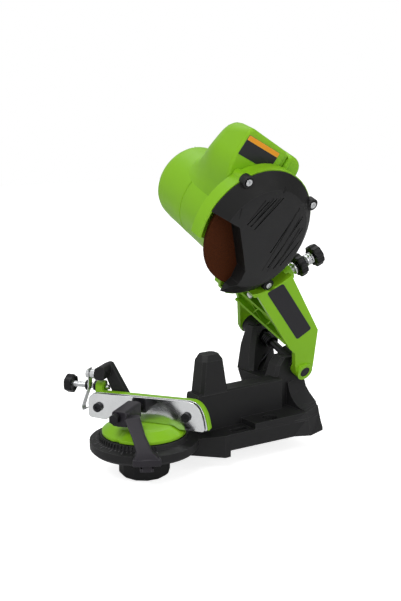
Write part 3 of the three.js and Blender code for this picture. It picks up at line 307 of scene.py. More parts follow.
# In each moulding below, edge is the colour of a highlight painted along its edges.
GREEN = moulding(
    "lime_green_moulding", dark=(0.205, 0.460, 0.008), light=(0.235, 0.505, 0.012),
    edge=(0.290, 0.560, 0.030), rough=(0.36, 0.48), grain_mm=0.35, depth_mm=0.012, Specular_IOR_Level=0.26,
)
BLACK = moulding(
    "black_moulding", dark=(0.0085, 0.0085, 0.0090), light=(0.0130, 0.0130, 0.0138),
    edge=(0.042, 0.042, 0.043), rough=(0.46, 0.60), grain_mm=0.5, depth_mm=0.05, **DULL,
)
BLACK_GLOSS = moulding(
    "black_knob_plastic", dark=(0.005, 0.005, 0.006), light=(0.008, 0.008, 0.009),
    edge=(0.022, 0.022, 0.023), rough=(0.28, 0.40), grain_mm=0.5, depth_mm=0.02, **DULL,
)
CLAMP_GREY = moulding(
    "clamp_casting", dark=(0.0175, 0.0155, 0.0200), light=(0.0230, 0.0205, 0.0260),
    edge=(0.058, 0.055, 0.063), rough=(0.38, 0.50), grain_mm=0.4, depth_mm=0.03, **DULL,
)
MARK_GREY = moulding(
    "raised_scale_marks", dark=(0.045, 0.045, 0.047), light=(0.060, 0.060, 0.062),
    edge=(0.11, 0.11, 0.112), rough=(0.5, 0.6), grain_mm=0.4, depth_mm=0.01, **DULL,
)
# Painted shade: near-black for the flat strips that stand for the cover's slots.
SLOT_PAINTED_SHADE = moulding(
    "cover_slot_painted_shade", dark=(0.0020, 0.0020, 0.0020), light=(0.0030, 0.0030, 0.0030),
    edge=(0.004, 0.004, 0.004), rough=(0.6, 0.7), grain_mm=0.5, depth_mm=0.02, **DULL,
)
PALE = moulding(
    "pale_plastic", dark=(0.52, 0.48, 0.40), light=(0.60, 0.56, 0.48),
    edge=(0.64, 0.60, 0.52), rough=(0.5, 0.6), grain_mm=0.5, depth_mm=0.02,
)
CARBON = moulding(
    "carbon_brush", dark=(0.010, 0.010, 0.010), light=(0.020, 0.020, 0.020),
    edge=(0.03, 0.03, 0.03), rough=(0.6, 0.8), grain_mm=0.3, depth_mm=0.02,
)
PLATE_DARK = moulding(
    "bare_plate_dark", dark=(0.0150, 0.0145, 0.0180), light=(0.0190, 0.0185, 0.0220),
    edge=(0.05, 0.05, 0.055), rough=(0.30, 0.40), grain_mm=0.3, depth_mm=0.004, **DULL,
)
PLATE_ORANGE = moulding(
    "bare_plate_orange", dark=(0.80, 0.30, 0.012), light=(0.86, 0.34, 0.018),
    edge=(0.90, 0.42, 0.05), rough=(0.30, 0.40), grain_mm=0.3, depth_mm=0.004, **DULL,
)
ZINC = metal(
    "zinc_plated_steel", dark=(0.50, 0.51, 0.52), light=(0.68, 0.69, 0.70),
    rough=(0.22, 0.34), grain_mm=0.4, depth_mm=0.01,
)
CHROME = metal(
    "polished_jaw_steel", dark=(0.66, 0.67, 0.68), light=(0.80, 0.81, 0.82),
    rough=(0.09, 0.16), grain_mm=0.5, depth_mm=0.004,
)
DARK_STEEL = metal(
    "blackened_steel", dark=(0.020, 0.020, 0.022), light=(0.040, 0.040, 0.043),
    rough=(0.35, 0.5), grain_mm=0.4, depth_mm=0.02,
)
IRON = metal(
    "stacked_sheet_steel", dark=(0.20, 0.20, 0.21), light=(0.32, 0.32, 0.33),
    rough=(0.4, 0.55), grain_mm=0.4, depth_mm=0.02,
)
COPPER = metal(
    "bare_copper", dark=(0.55, 0.24, 0.11), light=(0.72, 0.36, 0.18),
    rough=(0.25, 0.4), grain_mm=0.4, depth_mm=0.01,
)
COVER = cover_black()
GRIT = wheel_grit()

# What each solid is made of, and how far its edges are rounded
FINISHES = {
    "base_moulding": (BLACK, 0.9),
    "near_hinge_bush": (PALE, 0.0),
    "far_hinge_bush": (PALE, 0.0),
    "hinge_shaft": (DARK_STEEL, 0.4),
    "hinge_nut": (ZINC, 0.3),
    "arm_yoke": (GREEN, 0.8),
    "motor_housing": (GREEN, 0.8),
    "cap_screw_top": (ZINC, 0.2),
    "cap_screw_low": (ZINC, 0.2),
    "switch_body": (BLACK_GLOSS, 0.3),
    "rocker_switch": (BLACK_GLOSS, 0.4),
    "wheel_cover": (COVER, 0.5),
    "cover_screw_top": (ZINC, 0.3),
    "cover_screw_side": (ZINC, 0.3),
    "cover_screw_low": (ZINC, 0.3),
    "grinding_wheel": (GRIT, 0.2),
    "inner_flange": (ZINC, 0.2),
    "outer_flange": (ZINC, 0.2),
    "spindle_nut": (ZINC, 0.2),
    "spindle": (ZINC, 0.2),
    "cooling_fan": (PALE, 0.0),
    "rotor": (IRON, 0.0),
    "commutator": (COPPER, 0.0),
    "front_bearing": (ZINC, 0.0),
    "rear_bearing": (ZINC, 0.0),
    "stator": (IRON, 0.0),
    "carbon_brush_left": (CARBON, 0.0),
    "carbon_brush_right": (CARBON, 0.0),
    "brush_holder_left": (COPPER, 0.0),
    "brush_holder_right": (COPPER, 0.0),
    "jaw_screw_left": (DARK_STEEL, 0.3),
    "jaw_screw_right": (DARK_STEEL, 0.3),
    "clamp_screw": (DARK_STEEL, 0.4),
    "stop_bush": (ZINC, 0.3),
    "stop_bolt": (ZINC, 0.3),
    "chain_stop": (ZINC, 0.1),
    "adjuster_washer": (DARK_STEEL, 0.2),
    "adjuster_nut": (DARK_STEEL, 0.2),
    "swivel_bolt": (ZINC, 0.3),
    "swivel_knob": (BLACK, 0.8),
}
SHARP_ANGLE = math.radians(32.0)
CRISP_ANGLE = math.radians(12.0)
CRISP_NODES = ("wheel_cover", "base_moulding", "swivel_knob")
FLAT_ANGLE = math.radians(0.6)
SAME_POINT = 0.02  # points nearer than this are one
EDGE_SEGMENTS = 2
FACE_AREA_WEIGHT = 60


def rounded(piece, width_mm, sharp=SHARP_ANGLE):
    """Merges points and flat faces, rounds the edges that are sharp enough, and shades by face area."""
    weld = piece.modifiers.new("one_skin", "WELD")
    weld.merge_threshold = SAME_POINT * MM
    if width_mm > 0.0:
        flat = piece.modifiers.new("flat_faces", "DECIMATE")
        flat.decimate_type = "DISSOLVE"
        flat.angle_limit = FLAT_ANGLE
        soft = piece.modifiers.new("soft_edges", "BEVEL")
        soft.width = width_mm * MM
        soft.segments = EDGE_SEGMENTS
        soft.limit_method = "ANGLE"
        soft.angle_limit = sharp
        soft.miter_outer = "MITER_ARC"
        soft.use_clamp_overlap = True
        soft.loop_slide = True
    shade = piece.modifiers.new("even_shade", "WEIGHTED_NORMAL")
    shade.weight = FACE_AREA_WEIGHT
    shade.keep_sharp = True
    for polygon in piece.data.polygons:
        polygon.use_smooth = True


def painted(piece, material):
    piece.data.materials.clear()
    piece.data.materials.append(material)


def dress_nodes():
    for name, (material, width) in FINISHES.items():
        painted(NODES[name], material)
        rounded(NODES[name], width, CRISP_ANGLE if name in CRISP_NODES else SHARP_ANGLE)


# Fineness and softness of the shapes. In the outlines below a corner is given by its place across, its height
# and how far it is cut back for its curve.
CURVE_STEPS = 6
SOFT_STEPS = 5
FACETS = 96
WIRE_FACETS = 14
THREAD_STEPS = 4  # rings on each turn of a thread
THREAD_FACETS = 24
LABEL_THICK = 0.3
PLATE_SOFT = 0.12
BAND_PROUD = 0.08
SHELL_SOFT = 0.5
NECK_SOFT = 1.2

BOX_SPAN = (10.1, 43.0)
BOX_SOFT = 3.2
BOX_FRONT = [
    (-37.0, 2.0, 4.0), (-44.0, 17.0, 6.0), (-54.0, 33.0, 7.0), (-58.8, 46.0, 6.5), (-59.6, 76.0, 6.5),
    (-6.2, 73.6, 4.0), (-6.2, 2.0, 4.0),
]
BOX_REAR = [
    (-37.0, 2.0, 4.0), (-44.0, 17.0, 6.0), (-54.0, 33.0, 7.0), (-59.4, 46.0, 6.5), (-55.4, 74.8, 13.0),
    (-6.2, 73.4, 4.0), (-6.2, 2.0, 4.0),
]
MOTOR_RADIUS = 37.0
# Place along the motor, and the share of the way from the box's outline to the motor's
BOX_BACK = [
    (36.0, 0.0), (40.0, 0.02), (44.0, 0.07), (48.0, 0.15), (53.0, 0.28), (58.0, 0.43), (63.0, 0.58),
    (68.0, 0.73), (73.0, 0.86), (78.0, 0.96), (82.0, 1.0),
]
BOX_NECK = [(-12.0, 2.0, 0.5), (-12.0, 71.4, 2.0), (-1.3, 71.4, 0.5), (-1.3, 2.0, 0.5)]
BOX_NECK_SPAN = (12.8, 40.4)
BOX_END = [(-1.2, 2.0, 3.4), (-1.2, 73.5, 4.0), (19.0, 73.5, 15.0), (19.0, 2.0, 3.4)]
BOX_END_SOFT = 3.2
ROCKER_OPENING = {"e": (-3.0, 21.0), "y": (19.0, 34.0), "f": (43.0, 59.0)}
BOX_LABEL = [(-57.0, 51.5, 1.0), (-57.0, 69.7, 1.0), (-15.3, 69.7, 1.0), (-15.3, 51.5, 1.0)]
BOX_BAND = [(-56.8, 65.3, 0.2), (-56.8, 69.5, 0.9), (-15.5, 69.5, 0.9), (-15.5, 65.3, 0.2)]
ARM_LABEL = [(108.5, 103.5, 2.5), (122.9, 113.4, 2.5), (168.9, 61.8, 2.5), (156.3, 49.9, 2.5)]
ARM_LEAN_SHARE = -0.16  # how far the near plate moves outwards, as a share of the way along it
ARM_LEAN_START = 16.0
ARM_LEAN = Matrix(((1, 0, 0, 0), (ARM_LEAN_SHARE, 1, 0, ARM_LEAN_START), (0, 0, 1, 0), (0, 0, 0, 1)))
ARM_FACE = -10.0

CAP_PROFILE = [
    (34.9, 61.3), (38.4, 61.3), (38.4, 63.0), (37.8, 78.0), (37.5, 92.6), (37.1, 93.6), (36.9, 99.5),
    (36.5, 102.6), (35.5, 105.4), (33.7, 107.9), (31.2, 109.7), (28.2, 110.7), (25.0, 111.0),
    (9.0, 111.2), (0.5, 111.2),
]

# Cover, across and up from the spindle: each slot's wide end, its fine end and the two widths
COVER_SLOTS = [
    ((29.7, 27.9), (6.6, -30.9), 1.9, 0.5), ((34.8, 19.8), (12.8, -32.6), 1.9, 0.5),
    ((37.7, 9.2), (21.0, -29.4), 1.7, 0.5), ((38.0, 3.2), (23.3, -25.6), 1.2, 0.4),
    ((5.9, 40.4), (-14.5, 13.6), 1.8, 0.5), ((-1.7, 40.4), (-18.6, 16.8), 1.7, 0.5),
    ((-10.0, 39.0), (-22.3, 21.8), 1.5, 0.5), ((-33.1, 32.7), (-33.8, 23.1), 1.0, 0.4),
    ((12.2, 48.5), (7.7, 44.6), 2.4, 1.8),
]
# The cover's outside: radius and place along the spindle
COVER_FACE = [(0.0, -17.6), (40.0, -16.4), (47.0, -15.0), (60.0, -3.8)]
SLOT_PROUD = 0.04
SLOT_DEEP = 0.5
SLOT_STEPS = 12
COLLAR = [(3.5, -2.0), (5.6, -2.0), (5.6, -8.3), (5.0, -8.9), (4.1, -8.9), (3.5, -8.4)]
COLLAR_RING = 59.3
COLLAR_TURNS = (117.0, 27.0, -63.0)

# Knobs and threads: radius, place along the axis and the depth of the lobes there
KNOB_LOBES = 9
LOCK_KNOB = [
    (4.0, 57.8, 0.0), (8.4, 57.8, 0.0), (8.7, 55.6, 0.0), (9.7, 55.0, 0.5), (11.0, 55.5, 1.1),
    (11.4, 56.6, 1.4), (11.4, 61.0, 1.4), (10.9, 62.2, 1.1), (9.6, 62.9, 0.5), (7.4, 63.0, 0.0),
    (4.0, 63.0, 0.0),
]
LOCK_BUSH = [
    (4.0, 51.0, 0.0), (5.6, 51.0, 0.0), (6.1, 51.5, 0.0), (6.1, 53.4, 0.0), (5.2, 53.8, 0.0),
    (5.2, 57.9, 0.0), (4.0, 57.9, 0.0),
]
DEPTH_KNOB = [
    (4.0, 76.4, 0.0), (8.0, 76.4, 0.0), (8.4, 74.3, 0.0), (9.3, 73.7, 0.5), (10.6, 74.2, 1.1),
    (10.9, 75.3, 1.4), (10.9, 79.8, 1.4), (10.5, 81.3, 1.1), (9.1, 82.3, 0.5), (6.3, 82.9, 0.0),
    (0.5, 83.0, 0.0),
]
ADJUSTER_KNOB = [
    (3.2, -76.6, 0.0), (6.3, -76.6, 0.0), (6.8, -75.4, 0.0), (7.7, -75.0, 0.5), (8.7, -75.5, 1.0),
    (9.0, -76.6, 1.3), (9.0, -81.0, 1.3), (8.6, -82.3, 1.0), (7.3, -83.1, 0.4), (5.1, -83.5, 0.0),
    (0.5, -83.5, 0.0),
]
THREAD_PITCH = 1.0
THREAD_DEPTH = 0.45
ROD = {"radius": 3.6, "core": 3.15, "tail": 3.1, "thread": (9.0, 66.0), "end": 80.0}
ROD_POINT = {"radius": 2.6, "long": 0.6}
ROD_COLLAR = [
    (3.4, 66.0, 0.0), (5.2, 66.0, 0.0), (5.6, 66.4, 0.0), (5.6, 68.0, 0.0), (4.9, 68.3, 0.0),
    (4.9, 69.3, 0.0), (5.6, 69.6, 0.0), (5.6, 71.2, 0.0), (4.9, 71.5, 0.0), (4.9, 72.4, 0.0),
    (5.4, 72.7, 0.0), (5.4, 73.4, 0.0), (3.4, 73.4, 0.0),
]
ADJUSTER_LOBES = 6
ADJUSTER = {"radius": 2.8, "core": 2.3, "tip": -38.6, "thread": (-75.0, -44.0), "end": -79.0}
ADJUSTER_LINE = {"y": 9.6, "up": 57.0}

# Vise. The turntable goes by radius and height, the jaws and arms by the place along the jaws and the height.
TURNTABLE = [
    (9.3, 21.7), (37.9, 21.7), (38.5, 22.2), (38.5, 24.4), (38.0, 24.9), (29.4, 30.0), (28.6, 30.4),
    (25.2, 31.0), (24.6, 31.0), (9.3, 31.0),
]
NOTCH = {"turn": 253.0, "half": 3.0, "depth": 1.6, "start": 29.0}
REAR_JAW = [
    (-51.3, 34.0, 1.5), (-51.3, 54.0, 8.0), (52.5, 55.1, 8.0), (60.0, 43.0, 6.0), (62.8, 28.5, 2.0),
    (32.0, 28.5, 2.0), (27.0, 30.0, 1.5), (-29.0, 30.0, 2.0), (-35.0, 34.0, 2.0),
]
REAR_JAW_SPAN = (2.8, 9.2)
FAR_JAW = [
    (-54.8, 31.0, 3.0), (-54.8, 53.6, 9.0), (51.5, 55.3, 8.0), (58.6, 43.0, 6.0), (61.4, 28.6, 2.5),
    (34.5, 28.0, 2.5), (28.0, 31.4, 2.0), (-36.0, 31.4, 2.0), (-48.0, 30.5, 2.0),
]
FAR_JAW_SPAN = (1.0, 2.5)
NEAR_JAW = [
    (-55.3, 30.0, 3.5), (-55.3, 53.2, 9.5), (50.5, 55.3, 8.0), (57.2, 43.0, 6.0), (59.6, 28.0, 3.5),
    (34.5, 28.0, 2.5), (29.5, 31.4, 2.0), (-34.0, 31.4, 2.0), (-37.5, 29.0, 1.5),
]
NEAR_JAW_SPAN = (-2.0, -0.5)
JAW_SOFT = 0.35
JAW_EDGE = 0.6
# The nut block is drawn across the jaws, and its span runs along them
NUT_BLOCK = [(3.0, 48.0, 1.0), (3.0, 62.6, 5.0), (16.0, 62.6, 5.0), (16.0, 48.0, 1.0)]
NUT_BLOCK_SPAN = (-50.2, -43.3)

STOP_LEG = [
    (-35.0, 38.0, 1.0), (-20.0, 38.0, 1.0), (-20.0, 51.0, 3.0), (-37.2, 80.2, 1.6), (-40.5, 80.6, 1.4),
    (-47.3, 77.7, 2.5), (-47.3, 66.8, 2.0), (-42.5, 66.8, 2.0), (-35.4, 51.0, 3.0),
]
STOP_LEG_SPAN = (9.5, 16.5)
STOP_BAR = [
    (-47.3, 66.8, 2.5), (-47.3, 77.7, 2.5), (-40.2, 80.4, 1.5), (-37.2, 79.4, 1.5), (-36.4, 75.0, 2.0),
    (-38.0, 66.8, 2.5),
]
STOP_BAR_SPAN = (-5.0, 11.0)
STOP_SOFT = 0.9

CLAMP_TURN = -64.3
CLAMP_HEAD = [
    (-13.5, 38.0, 3.0), (-13.5, 52.0, 3.0), (0.5, 52.0, 3.0), (0.5, 38.0, 1.0),
]
CLAMP_HEAD_SPAN = (-40.0, -7.0)
# Height, then how far the stem reaches outwards and sideways there
CLAMP_STEM = [
    (46.0, (25.0, 35.0), (-19.0, -5.0)), (32.0, (39.0, 47.0), (-12.5, -0.5)),
    (21.0, (46.0, 54.5), (-9.0, 5.0)), (14.5, (50.8, 56.0), (-11.5, 11.5)),
]
CLAMP_CHAMFER = 1.6
CLAMP_SOFT = 0.8
SWIVEL_HOLE = 4.6
CLAMP_LUG = [(50.5, 8.4, 0.5), (50.5, 15.4, 1.0), (56.3, 15.4, 1.6), (56.3, 8.4, 1.6)]
CLAMP_LUG_REACH = 12.8  # degrees to either side of the stem
CLAMP_LEG = {"start": 0.0, "end": 52.5, "half": 6.0, "up": (2.6, 5.8), "eye": 16.0}
CLAMP_KNEE = {"reach": (50.4, 53.0), "half": 4.0, "top": 8.8}

# Scale round the platform
PLATFORM = {"wall": 40.9, "wall_low": 17.0, "wall_high": 21.2, "shelf_in": 43.0}
SHELF_SLOPE = -0.2045  # fall of the platform's outer ring, per millimetre outwards
SHELF_AT = 17.38  # its height at the wall
INDEX_TURN = 198.0
RIB_STEP = 5.0
RIB_REACH = 55.0
RIB = {"half": 0.55, "proud": 0.9, "sunk": 1.2, "soft": 0.15}
MARK = {"half": 0.36, "proud": 0.35, "short": 1.8, "long": 3.2}
MARKS_PER_LONG = 3
NUMBER_STEP = 15
NUMBER_SIZE = 2.6
NUMBER_RING = 47.9
NUMBER_THICK = 0.3
NUMBER_STEPS = 2  # points on each curve of a figure
NUMBERS_EACH_WAY = 3

SPRING = {"wire": 1.0, "coil": 6.6, "pitch": 2.5, "start": 31.5, "turns": 4.222}
SPRING_FIRST = -40.0  # degrees where the coil begins
SPRING_LEGS = {"low": 30.0, "high": 34.0}
SPRING_STEPS = 28  # points on each turn


# Shapes

ALONG_X = turned("Y", 90.0)
ALONG_Y = turned("X", -90.0)


def skinned(rings):
    """A closed skin through rings of equally many points."""
    skin = bmesh.new()
    rows = [[skin.verts.new(point) for point in ring] for ring in rings]
    for low, high in zip(rows, rows[1:]):
        for i, point in enumerate(low):
            skin.faces.new((point, low[i - 1], high[i - 1], high[i]))
    skin.faces.new(rows[0])
    skin.faces.new(rows[-1])
    bmesh.ops.recalc_face_normals(skin, faces=skin.faces)
    return skin


def joined(*skins):
    whole = skins[0]
    for skin in skins[1:]:
        spare = bpy.data.meshes.new("spare")
        skin.to_mesh(spare)
        whole.from_mesh(spare)
        bpy.data.meshes.remove(spare)
        skin.free()
    return whole


def placed(skin, place):
    bmesh.ops.transform(skin, matrix=place, verts=skin.verts)
    return skin


def carved(skin, tool):
    """The skin with the tool's space taken away."""
    pieces = []
    for name, source in (("carved_body", skin), ("carving_tool", tool)):
        mesh = bpy.data.meshes.new(name)
        source.to_mesh(mesh)
        source.free()
        piece = bpy.data.objects.new(name, mesh)
        bpy.context.scene.collection.objects.link(piece)
        pieces.append(piece)
    opening = pieces[0].modifiers.new("opening", "BOOLEAN")
    opening.operation = "DIFFERENCE"
    opening.solver = "EXACT"
    opening.object = pieces[1]
    result = bmesh.new()
    result.from_object(pieces[0], bpy.context.evaluated_depsgraph_get())
    for piece in pieces:
        mesh = piece.data
        bpy.data.objects.remove(piece)
        bpy.data.meshes.remove(mesh)
    return result


def on_ring(radius, turn, height):
    return Vector((radius * math.cos(turn), radius * math.sin(turn), height))


def spun(profile, facets=FACETS, lobes=0):
    """A turned body from radius, height and the depth of its lobes."""
    rings = []
    for radius, height, *depth in profile:
        cut = depth[0] / 2 if depth else 0.0
        turns = [2 * math.pi * i / facets for i in range(facets)]
        rings.append([on_ring(radius - cut + cut * math.cos(lobes * turn), turn, height) for turn in turns])
    return skinned(rings)


def hoop(profile):
    """A turned ring whose profile closes on itself."""
    skin = bmesh.new()
    turns = [2 * math.pi * i / FACETS for i in range(FACETS)]
    rows = [[skin.verts.new(on_ring(radius, turn, height)) for turn in turns] for radius, height in profile]
    for low, high in zip(rows, rows[1:] + rows[:1]):
        for i, point in enumerate(low):
            skin.faces.new((point, low[i - 1], high[i - 1], high[i]))
    bmesh.ops.recalc_face_normals(skin, faces=skin.faces)
    return skin


def threaded(radius, start, end):
    """A bar with a thread from one place to another along its axis."""
    count = math.ceil((end - start) / THREAD_PITCH * THREAD_STEPS)
    rings = []
    for k in range(count + 1):
        height = start + (end - start) * k / count
        ring = []
        for i in range(THREAD_FACETS):
            share = (height / THREAD_PITCH - i / THREAD_FACETS) % 1.0
            cut = THREAD_DEPTH * abs(2 * share - 1)
            ring.append(on_ring(radius - cut, 2 * math.pi * i / THREAD_FACETS, height))
        rings.append(ring)
    return skinned(rings)


def swept(points, radius):
    """A round wire along points, its rings kept from twisting."""
    rings = []
    side = Vector((0.0, 1.0, 0.0))
    for i, point in enumerate(points):
        run = (points[min(i + 1, len(points) - 1)] - points[max(i - 1, 0)]).normalized()
        side = (side - run * side.dot(run)).normalized()
        up = run.cross(side)
        turns = [2 * math.pi * k / WIRE_FACETS for k in range(WIRE_FACETS)]
        rings.append([point + (side * math.cos(turn) + up * math.sin(turn)) * radius for turn in turns])
    return skinned(rings)


def eased(corners):
    """An outline whose corners are cut back and bridged by an even curve."""
    points = []
    for i, (x, z, cut) in enumerate(corners):
        corner = Vector((x, z))
        before = Vector(corners[i - 1][:2]) - corner
        after = Vector(corners[(i + 1) % len(corners)][:2]) - corner
        start = corner + before.normalized() * cut
        end = corner + after.normalized() * cut
        for k in range(CURVE_STEPS + 1):
            share = k / CURVE_STEPS
            points.append(start * (1 - share) ** 2 + corner * 2 * share * (1 - share) + end * share ** 2)
    return points


def drawn_in(points, by):
    """The outline moved evenly inwards."""
    around = list(zip(points, points[1:] + points[:1]))
    side = 1.0 if sum(a.x * b.y - b.x * a.y for a, b in around) > 0 else -1.0
    result = []
    for i, point in enumerate(points):
        run = (points[(i + 1) % len(points)] - points[i - 1]).normalized()
        result.append(point + Vector((-run.y, run.x)) * side * by)
    return result


def level(outline, y):
    return [Vector((point.x, y, point.y)) for point in outline]


def soft_rim(outline, y, step, soft):
    """Rings from an outer face inwards, along a quarter round."""
    rings = []
    for k in range(SOFT_STEPS + 1):
        angle = math.pi / 2 * k / SOFT_STEPS
        inner = drawn_in(outline, soft * (1 - math.sin(angle)))
        rings.append(level(inner, y + step * soft * (1 - math.cos(angle))))
    return rings


def slab(corners, span, soft):
    """A plate across Y with curved corners and rounded rims."""
    outline = eased(corners)
    return skinned(soft_rim(outline, span[0], 1.0, soft) + soft_rim(outline, span[1], -1.0, soft)[::-1])


def block(x, y, z):
    corners = [(x[0], z[0]), (x[1], z[0]), (x[1], z[1]), (x[0], z[1])]
    return skinned([[Vector((a, level_y, b)) for a, b in corners] for level_y in y])


def finished(name, skin, place, material, body, soft=0.0):
    """Makes a piece from a skin drawn in the frame of its carrier. A blended piece names no body."""
    mesh = bpy.data.meshes.new(name)
    skin.to_mesh(mesh)
    skin.free()
    mesh.transform(place)
    piece = bpy.data.objects.new(name, mesh)
    bpy.context.scene.collection.objects.link(piece)
    painted(piece, material)
    rounded(piece, soft)
    if body:
        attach(piece, body)
    return piece


# Head

def box_skin():
    front, rear = eased(BOX_FRONT), eased(BOX_REAR)
    rings = soft_rim(front, BOX_SPAN[0], 1.0, BOX_SOFT)
    for place, share in BOX_BACK:
        rings.append(level([point.lerp(point.normalized() * MOTOR_RADIUS, share) for point in rear], place))
    return joined(skinned(rings), slab(BOX_NECK, BOX_NECK_SPAN, NECK_SOFT))


def build_switch_box():
    shell = finished("switch_box_shell", box_skin(), BOX, GREEN, "head", SHELL_SOFT)
    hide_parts("switch_box")
    opening = block(ROCKER_OPENING["e"], ROCKER_OPENING["y"], ROCKER_OPENING["f"])
    skin = carved(slab(BOX_END, BOX_SPAN, BOX_END_SOFT), opening)
    end = finished("switch_end_shell", skin, BOX, GREEN, "head")
    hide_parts("switch_box_end")


def build_labels():
    face = BOX_SPAN[0]
    plate = slab(BOX_LABEL, (face - LABEL_THICK, face + LABEL_THICK), PLATE_SOFT)
    finished("box_label_plate", plate, BOX, PLATE_DARK, "head")
    band = slab(BOX_BAND, (face - LABEL_THICK - BAND_PROUD, face), PLATE_SOFT)
    finished("box_label_band", band, BOX, PLATE_ORANGE, "head")
    place = HEAD @ ARM_LEAN
    plate = slab(ARM_LABEL, (ARM_FACE - LABEL_THICK, ARM_FACE + LABEL_THICK), PLATE_SOFT)
    finished("arm_label_plate", plate, place, PLATE_DARK, "head")


def cover_up(radius):
    """Where the cover's outside lies along the spindle."""
    for (near, near_up), (far, far_up) in zip(COVER_FACE, COVER_FACE[1:]):
        if radius <= far:
            return near_up + (far_up - near_up) * (radius - near) / (far - near)
    return COVER_FACE[-1][1]


def slot_skin(start, end, wide, fine):
    """A tapering strip laid on the cover's face, painted near-black as the shade inside a slot."""
    start, end = Vector(start), Vector(end)
    run = (end - start).normalized()
    across = Vector((-run.y, run.x))
    rings = []
    for k in range(SLOT_STEPS + 1):
        share = k / SLOT_STEPS
        half = (wide + (fine - wide) * share) / 2
        sides = [start.lerp(end, share) + across * side for side in (-half, half)]
        outer = [Vector((point.x, cover_up(point.length) - SLOT_PROUD, point.y)) for point in sides]
        rings.append(outer + [point + Vector((0.0, SLOT_DEEP, 0.0)) for point in reversed(outer)])
    return skinned(rings)


def build_cover_details():
    """Near-black strips painted on the cover's face as the shade of its tapering slots, and the collars round
    its three screws.
    """
    slots = joined(*[slot_skin(*slot) for slot in COVER_SLOTS])
    # Painted shade: the slots are flat dark strips, not openings.
    finished("cover_slot_shade_strips", slots, SPINDLE, SLOT_PAINTED_SHADE, "head")
    collars = []
    for turn in COLLAR_TURNS:
        place = turned("Y", -turn) @ Matrix.Translation((COLLAR_RING, 0.0, 0.0)) @ ALONG_Y
        collars.append(placed(hoop(COLLAR), place))
    finished("cover_screw_collars", joined(*collars), SPINDLE, BLACK, "head")


def build_motor_cap():
    cap = finished("motor_cap_shell", spun(CAP_PROFILE), SPINDLE @ ALONG_Y, GREEN, "head")
    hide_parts("motor_end_cap")


def build_depth_stop():
    place = ROD_LINE @ ALONG_X
    core, (start, end) = ROD["core"], ROD["thread"]
    bar = joined(
        spun([(ROD_POINT["radius"], 0.0), (core, ROD_POINT["long"]), (core, start)], THREAD_FACETS),
        threaded(ROD["radius"], start, end),
        spun(ROD_COLLAR, FACETS),
        spun([(ROD["tail"], end), (ROD["tail"], ROD["end"])], THREAD_FACETS),
    )
    rod = finished("depth_rod_threaded", bar, place, ZINC, "rod")
    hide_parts("depth_rod")
    grip = spun(DEPTH_KNOB, FACETS, KNOB_LOBES)
    knob = finished("depth_knob_grip", grip, place, BLACK_GLOSS, "rod_knob")
    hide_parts("depth_knob")
    grip = spun(LOCK_KNOB, FACETS, KNOB_LOBES)
    lock = finished("lock_knob_grip", grip, place, BLACK_GLOSS, "rod_lock")
    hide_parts("depth_lock_knob")
    finished("lock_knob_bush", spun(LOCK_BUSH, FACETS), place, ZINC, "rod_lock")


def spring_points():
    """Centre line of the return spring: a straight leg, the coil round the shaft, a second straight leg."""
    def on_coil(turn):
        angle = math.radians(SPRING_FIRST) + 2 * math.pi * turn
        rise = SPRING["pitch"] / (2 * math.pi * SPRING["coil"])
        along = SPRING["start"] + SPRING["pitch"] * turn
        place = Vector((SPRING["coil"] * math.cos(angle), along, SPRING["coil"] * math.sin(angle)))
        return place, Vector((-math.sin(angle), rise, math.cos(angle))).normalized()

    steps = round(SPRING_STEPS * SPRING["turns"])
    first, first_run = on_coil(0.0)
    last, last_run = on_coil(SPRING["turns"])
    coil = [on_coil(SPRING["turns"] * k / steps)[0] for k in range(steps + 1)]
    return [first - first_run * SPRING_LEGS["low"], *coil, last + last_run * SPRING_LEGS["high"]]


def build_return_spring():
    wire = swept(spring_points(), SPRING["wire"])
    spring = finished("return_spring_wire", wire, HINGE, DARK_STEEL, None)
    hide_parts("return_spring")
    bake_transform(spring)


# Vise

def turntable_skin():
    skin = spun(TURNTABLE)
    middle = math.radians(NOTCH["turn"]) - 2 * math.pi
    for point in skin.verts:
        radius = math.hypot(point.co.x, point.co.y)
        apart = abs(math.atan2(point.co.y, point.co.x) - middle)
        if radius > NOTCH["start"] and apart < math.radians(NOTCH["half"]):
            share = 1 - NOTCH["depth"] / radius
            point.co.x *= share
            point.co.y *= share
    return skin


def build_vise():
    rear = joined(turntable_skin(), slab(REAR_JAW, REAR_JAW_SPAN, JAW_EDGE))
    span = tuple(sorted(-place for place in NUT_BLOCK_SPAN))
    nut = placed(slab(NUT_BLOCK, span, JAW_EDGE), turned("Z", 90.0))
    body = finished("vise_body_shell", joined(rear, nut), VISE, GREEN, "vise")
    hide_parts("vise_body")
    plate = slab(FAR_JAW, FAR_JAW_SPAN, JAW_SOFT)
    far = finished("far_jaw_polished", plate, VISE, CHROME, "vise")
    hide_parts("far_jaw_plate")
    plate = slab(NEAR_JAW, NEAR_JAW_SPAN, JAW_SOFT)
    near = finished("near_jaw_polished", plate, VISE, CHROME, "near_jaw")
    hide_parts("near_jaw_plate")


def build_stop_arm():
    skin = joined(slab(STOP_LEG, STOP_LEG_SPAN, STOP_SOFT), slab(STOP_BAR, STOP_BAR_SPAN, STOP_SOFT))
    arm = finished("stop_arm_shell", skin, VISE, BLACK, "stop")
    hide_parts("stop_arm")


def lug_skin():
    """The lug at the platform's rim: its section swept round the swivel bolt."""
    section = eased(CLAMP_LUG)
    rings = []
    for k in range(-CURVE_STEPS, CURVE_STEPS + 1):
        turn = math.radians(CLAMP_LUG_REACH) * k / CURVE_STEPS
        rings.append([on_ring(point.x, turn, point.y) for point in section])
    return skinned(rings)


def stem_skin():
    rings = []
    for height, (x0, x1), (y0, y1) in CLAMP_STEM:
        corners = [(x0, y0), (x1, y0), (x1, y1), (x0, y1)]
        outline = eased([(x, y, CLAMP_CHAMFER) for x, y in corners])
        rings.append([Vector((point.x, point.y, height)) for point in outline])
    return skinned(rings)


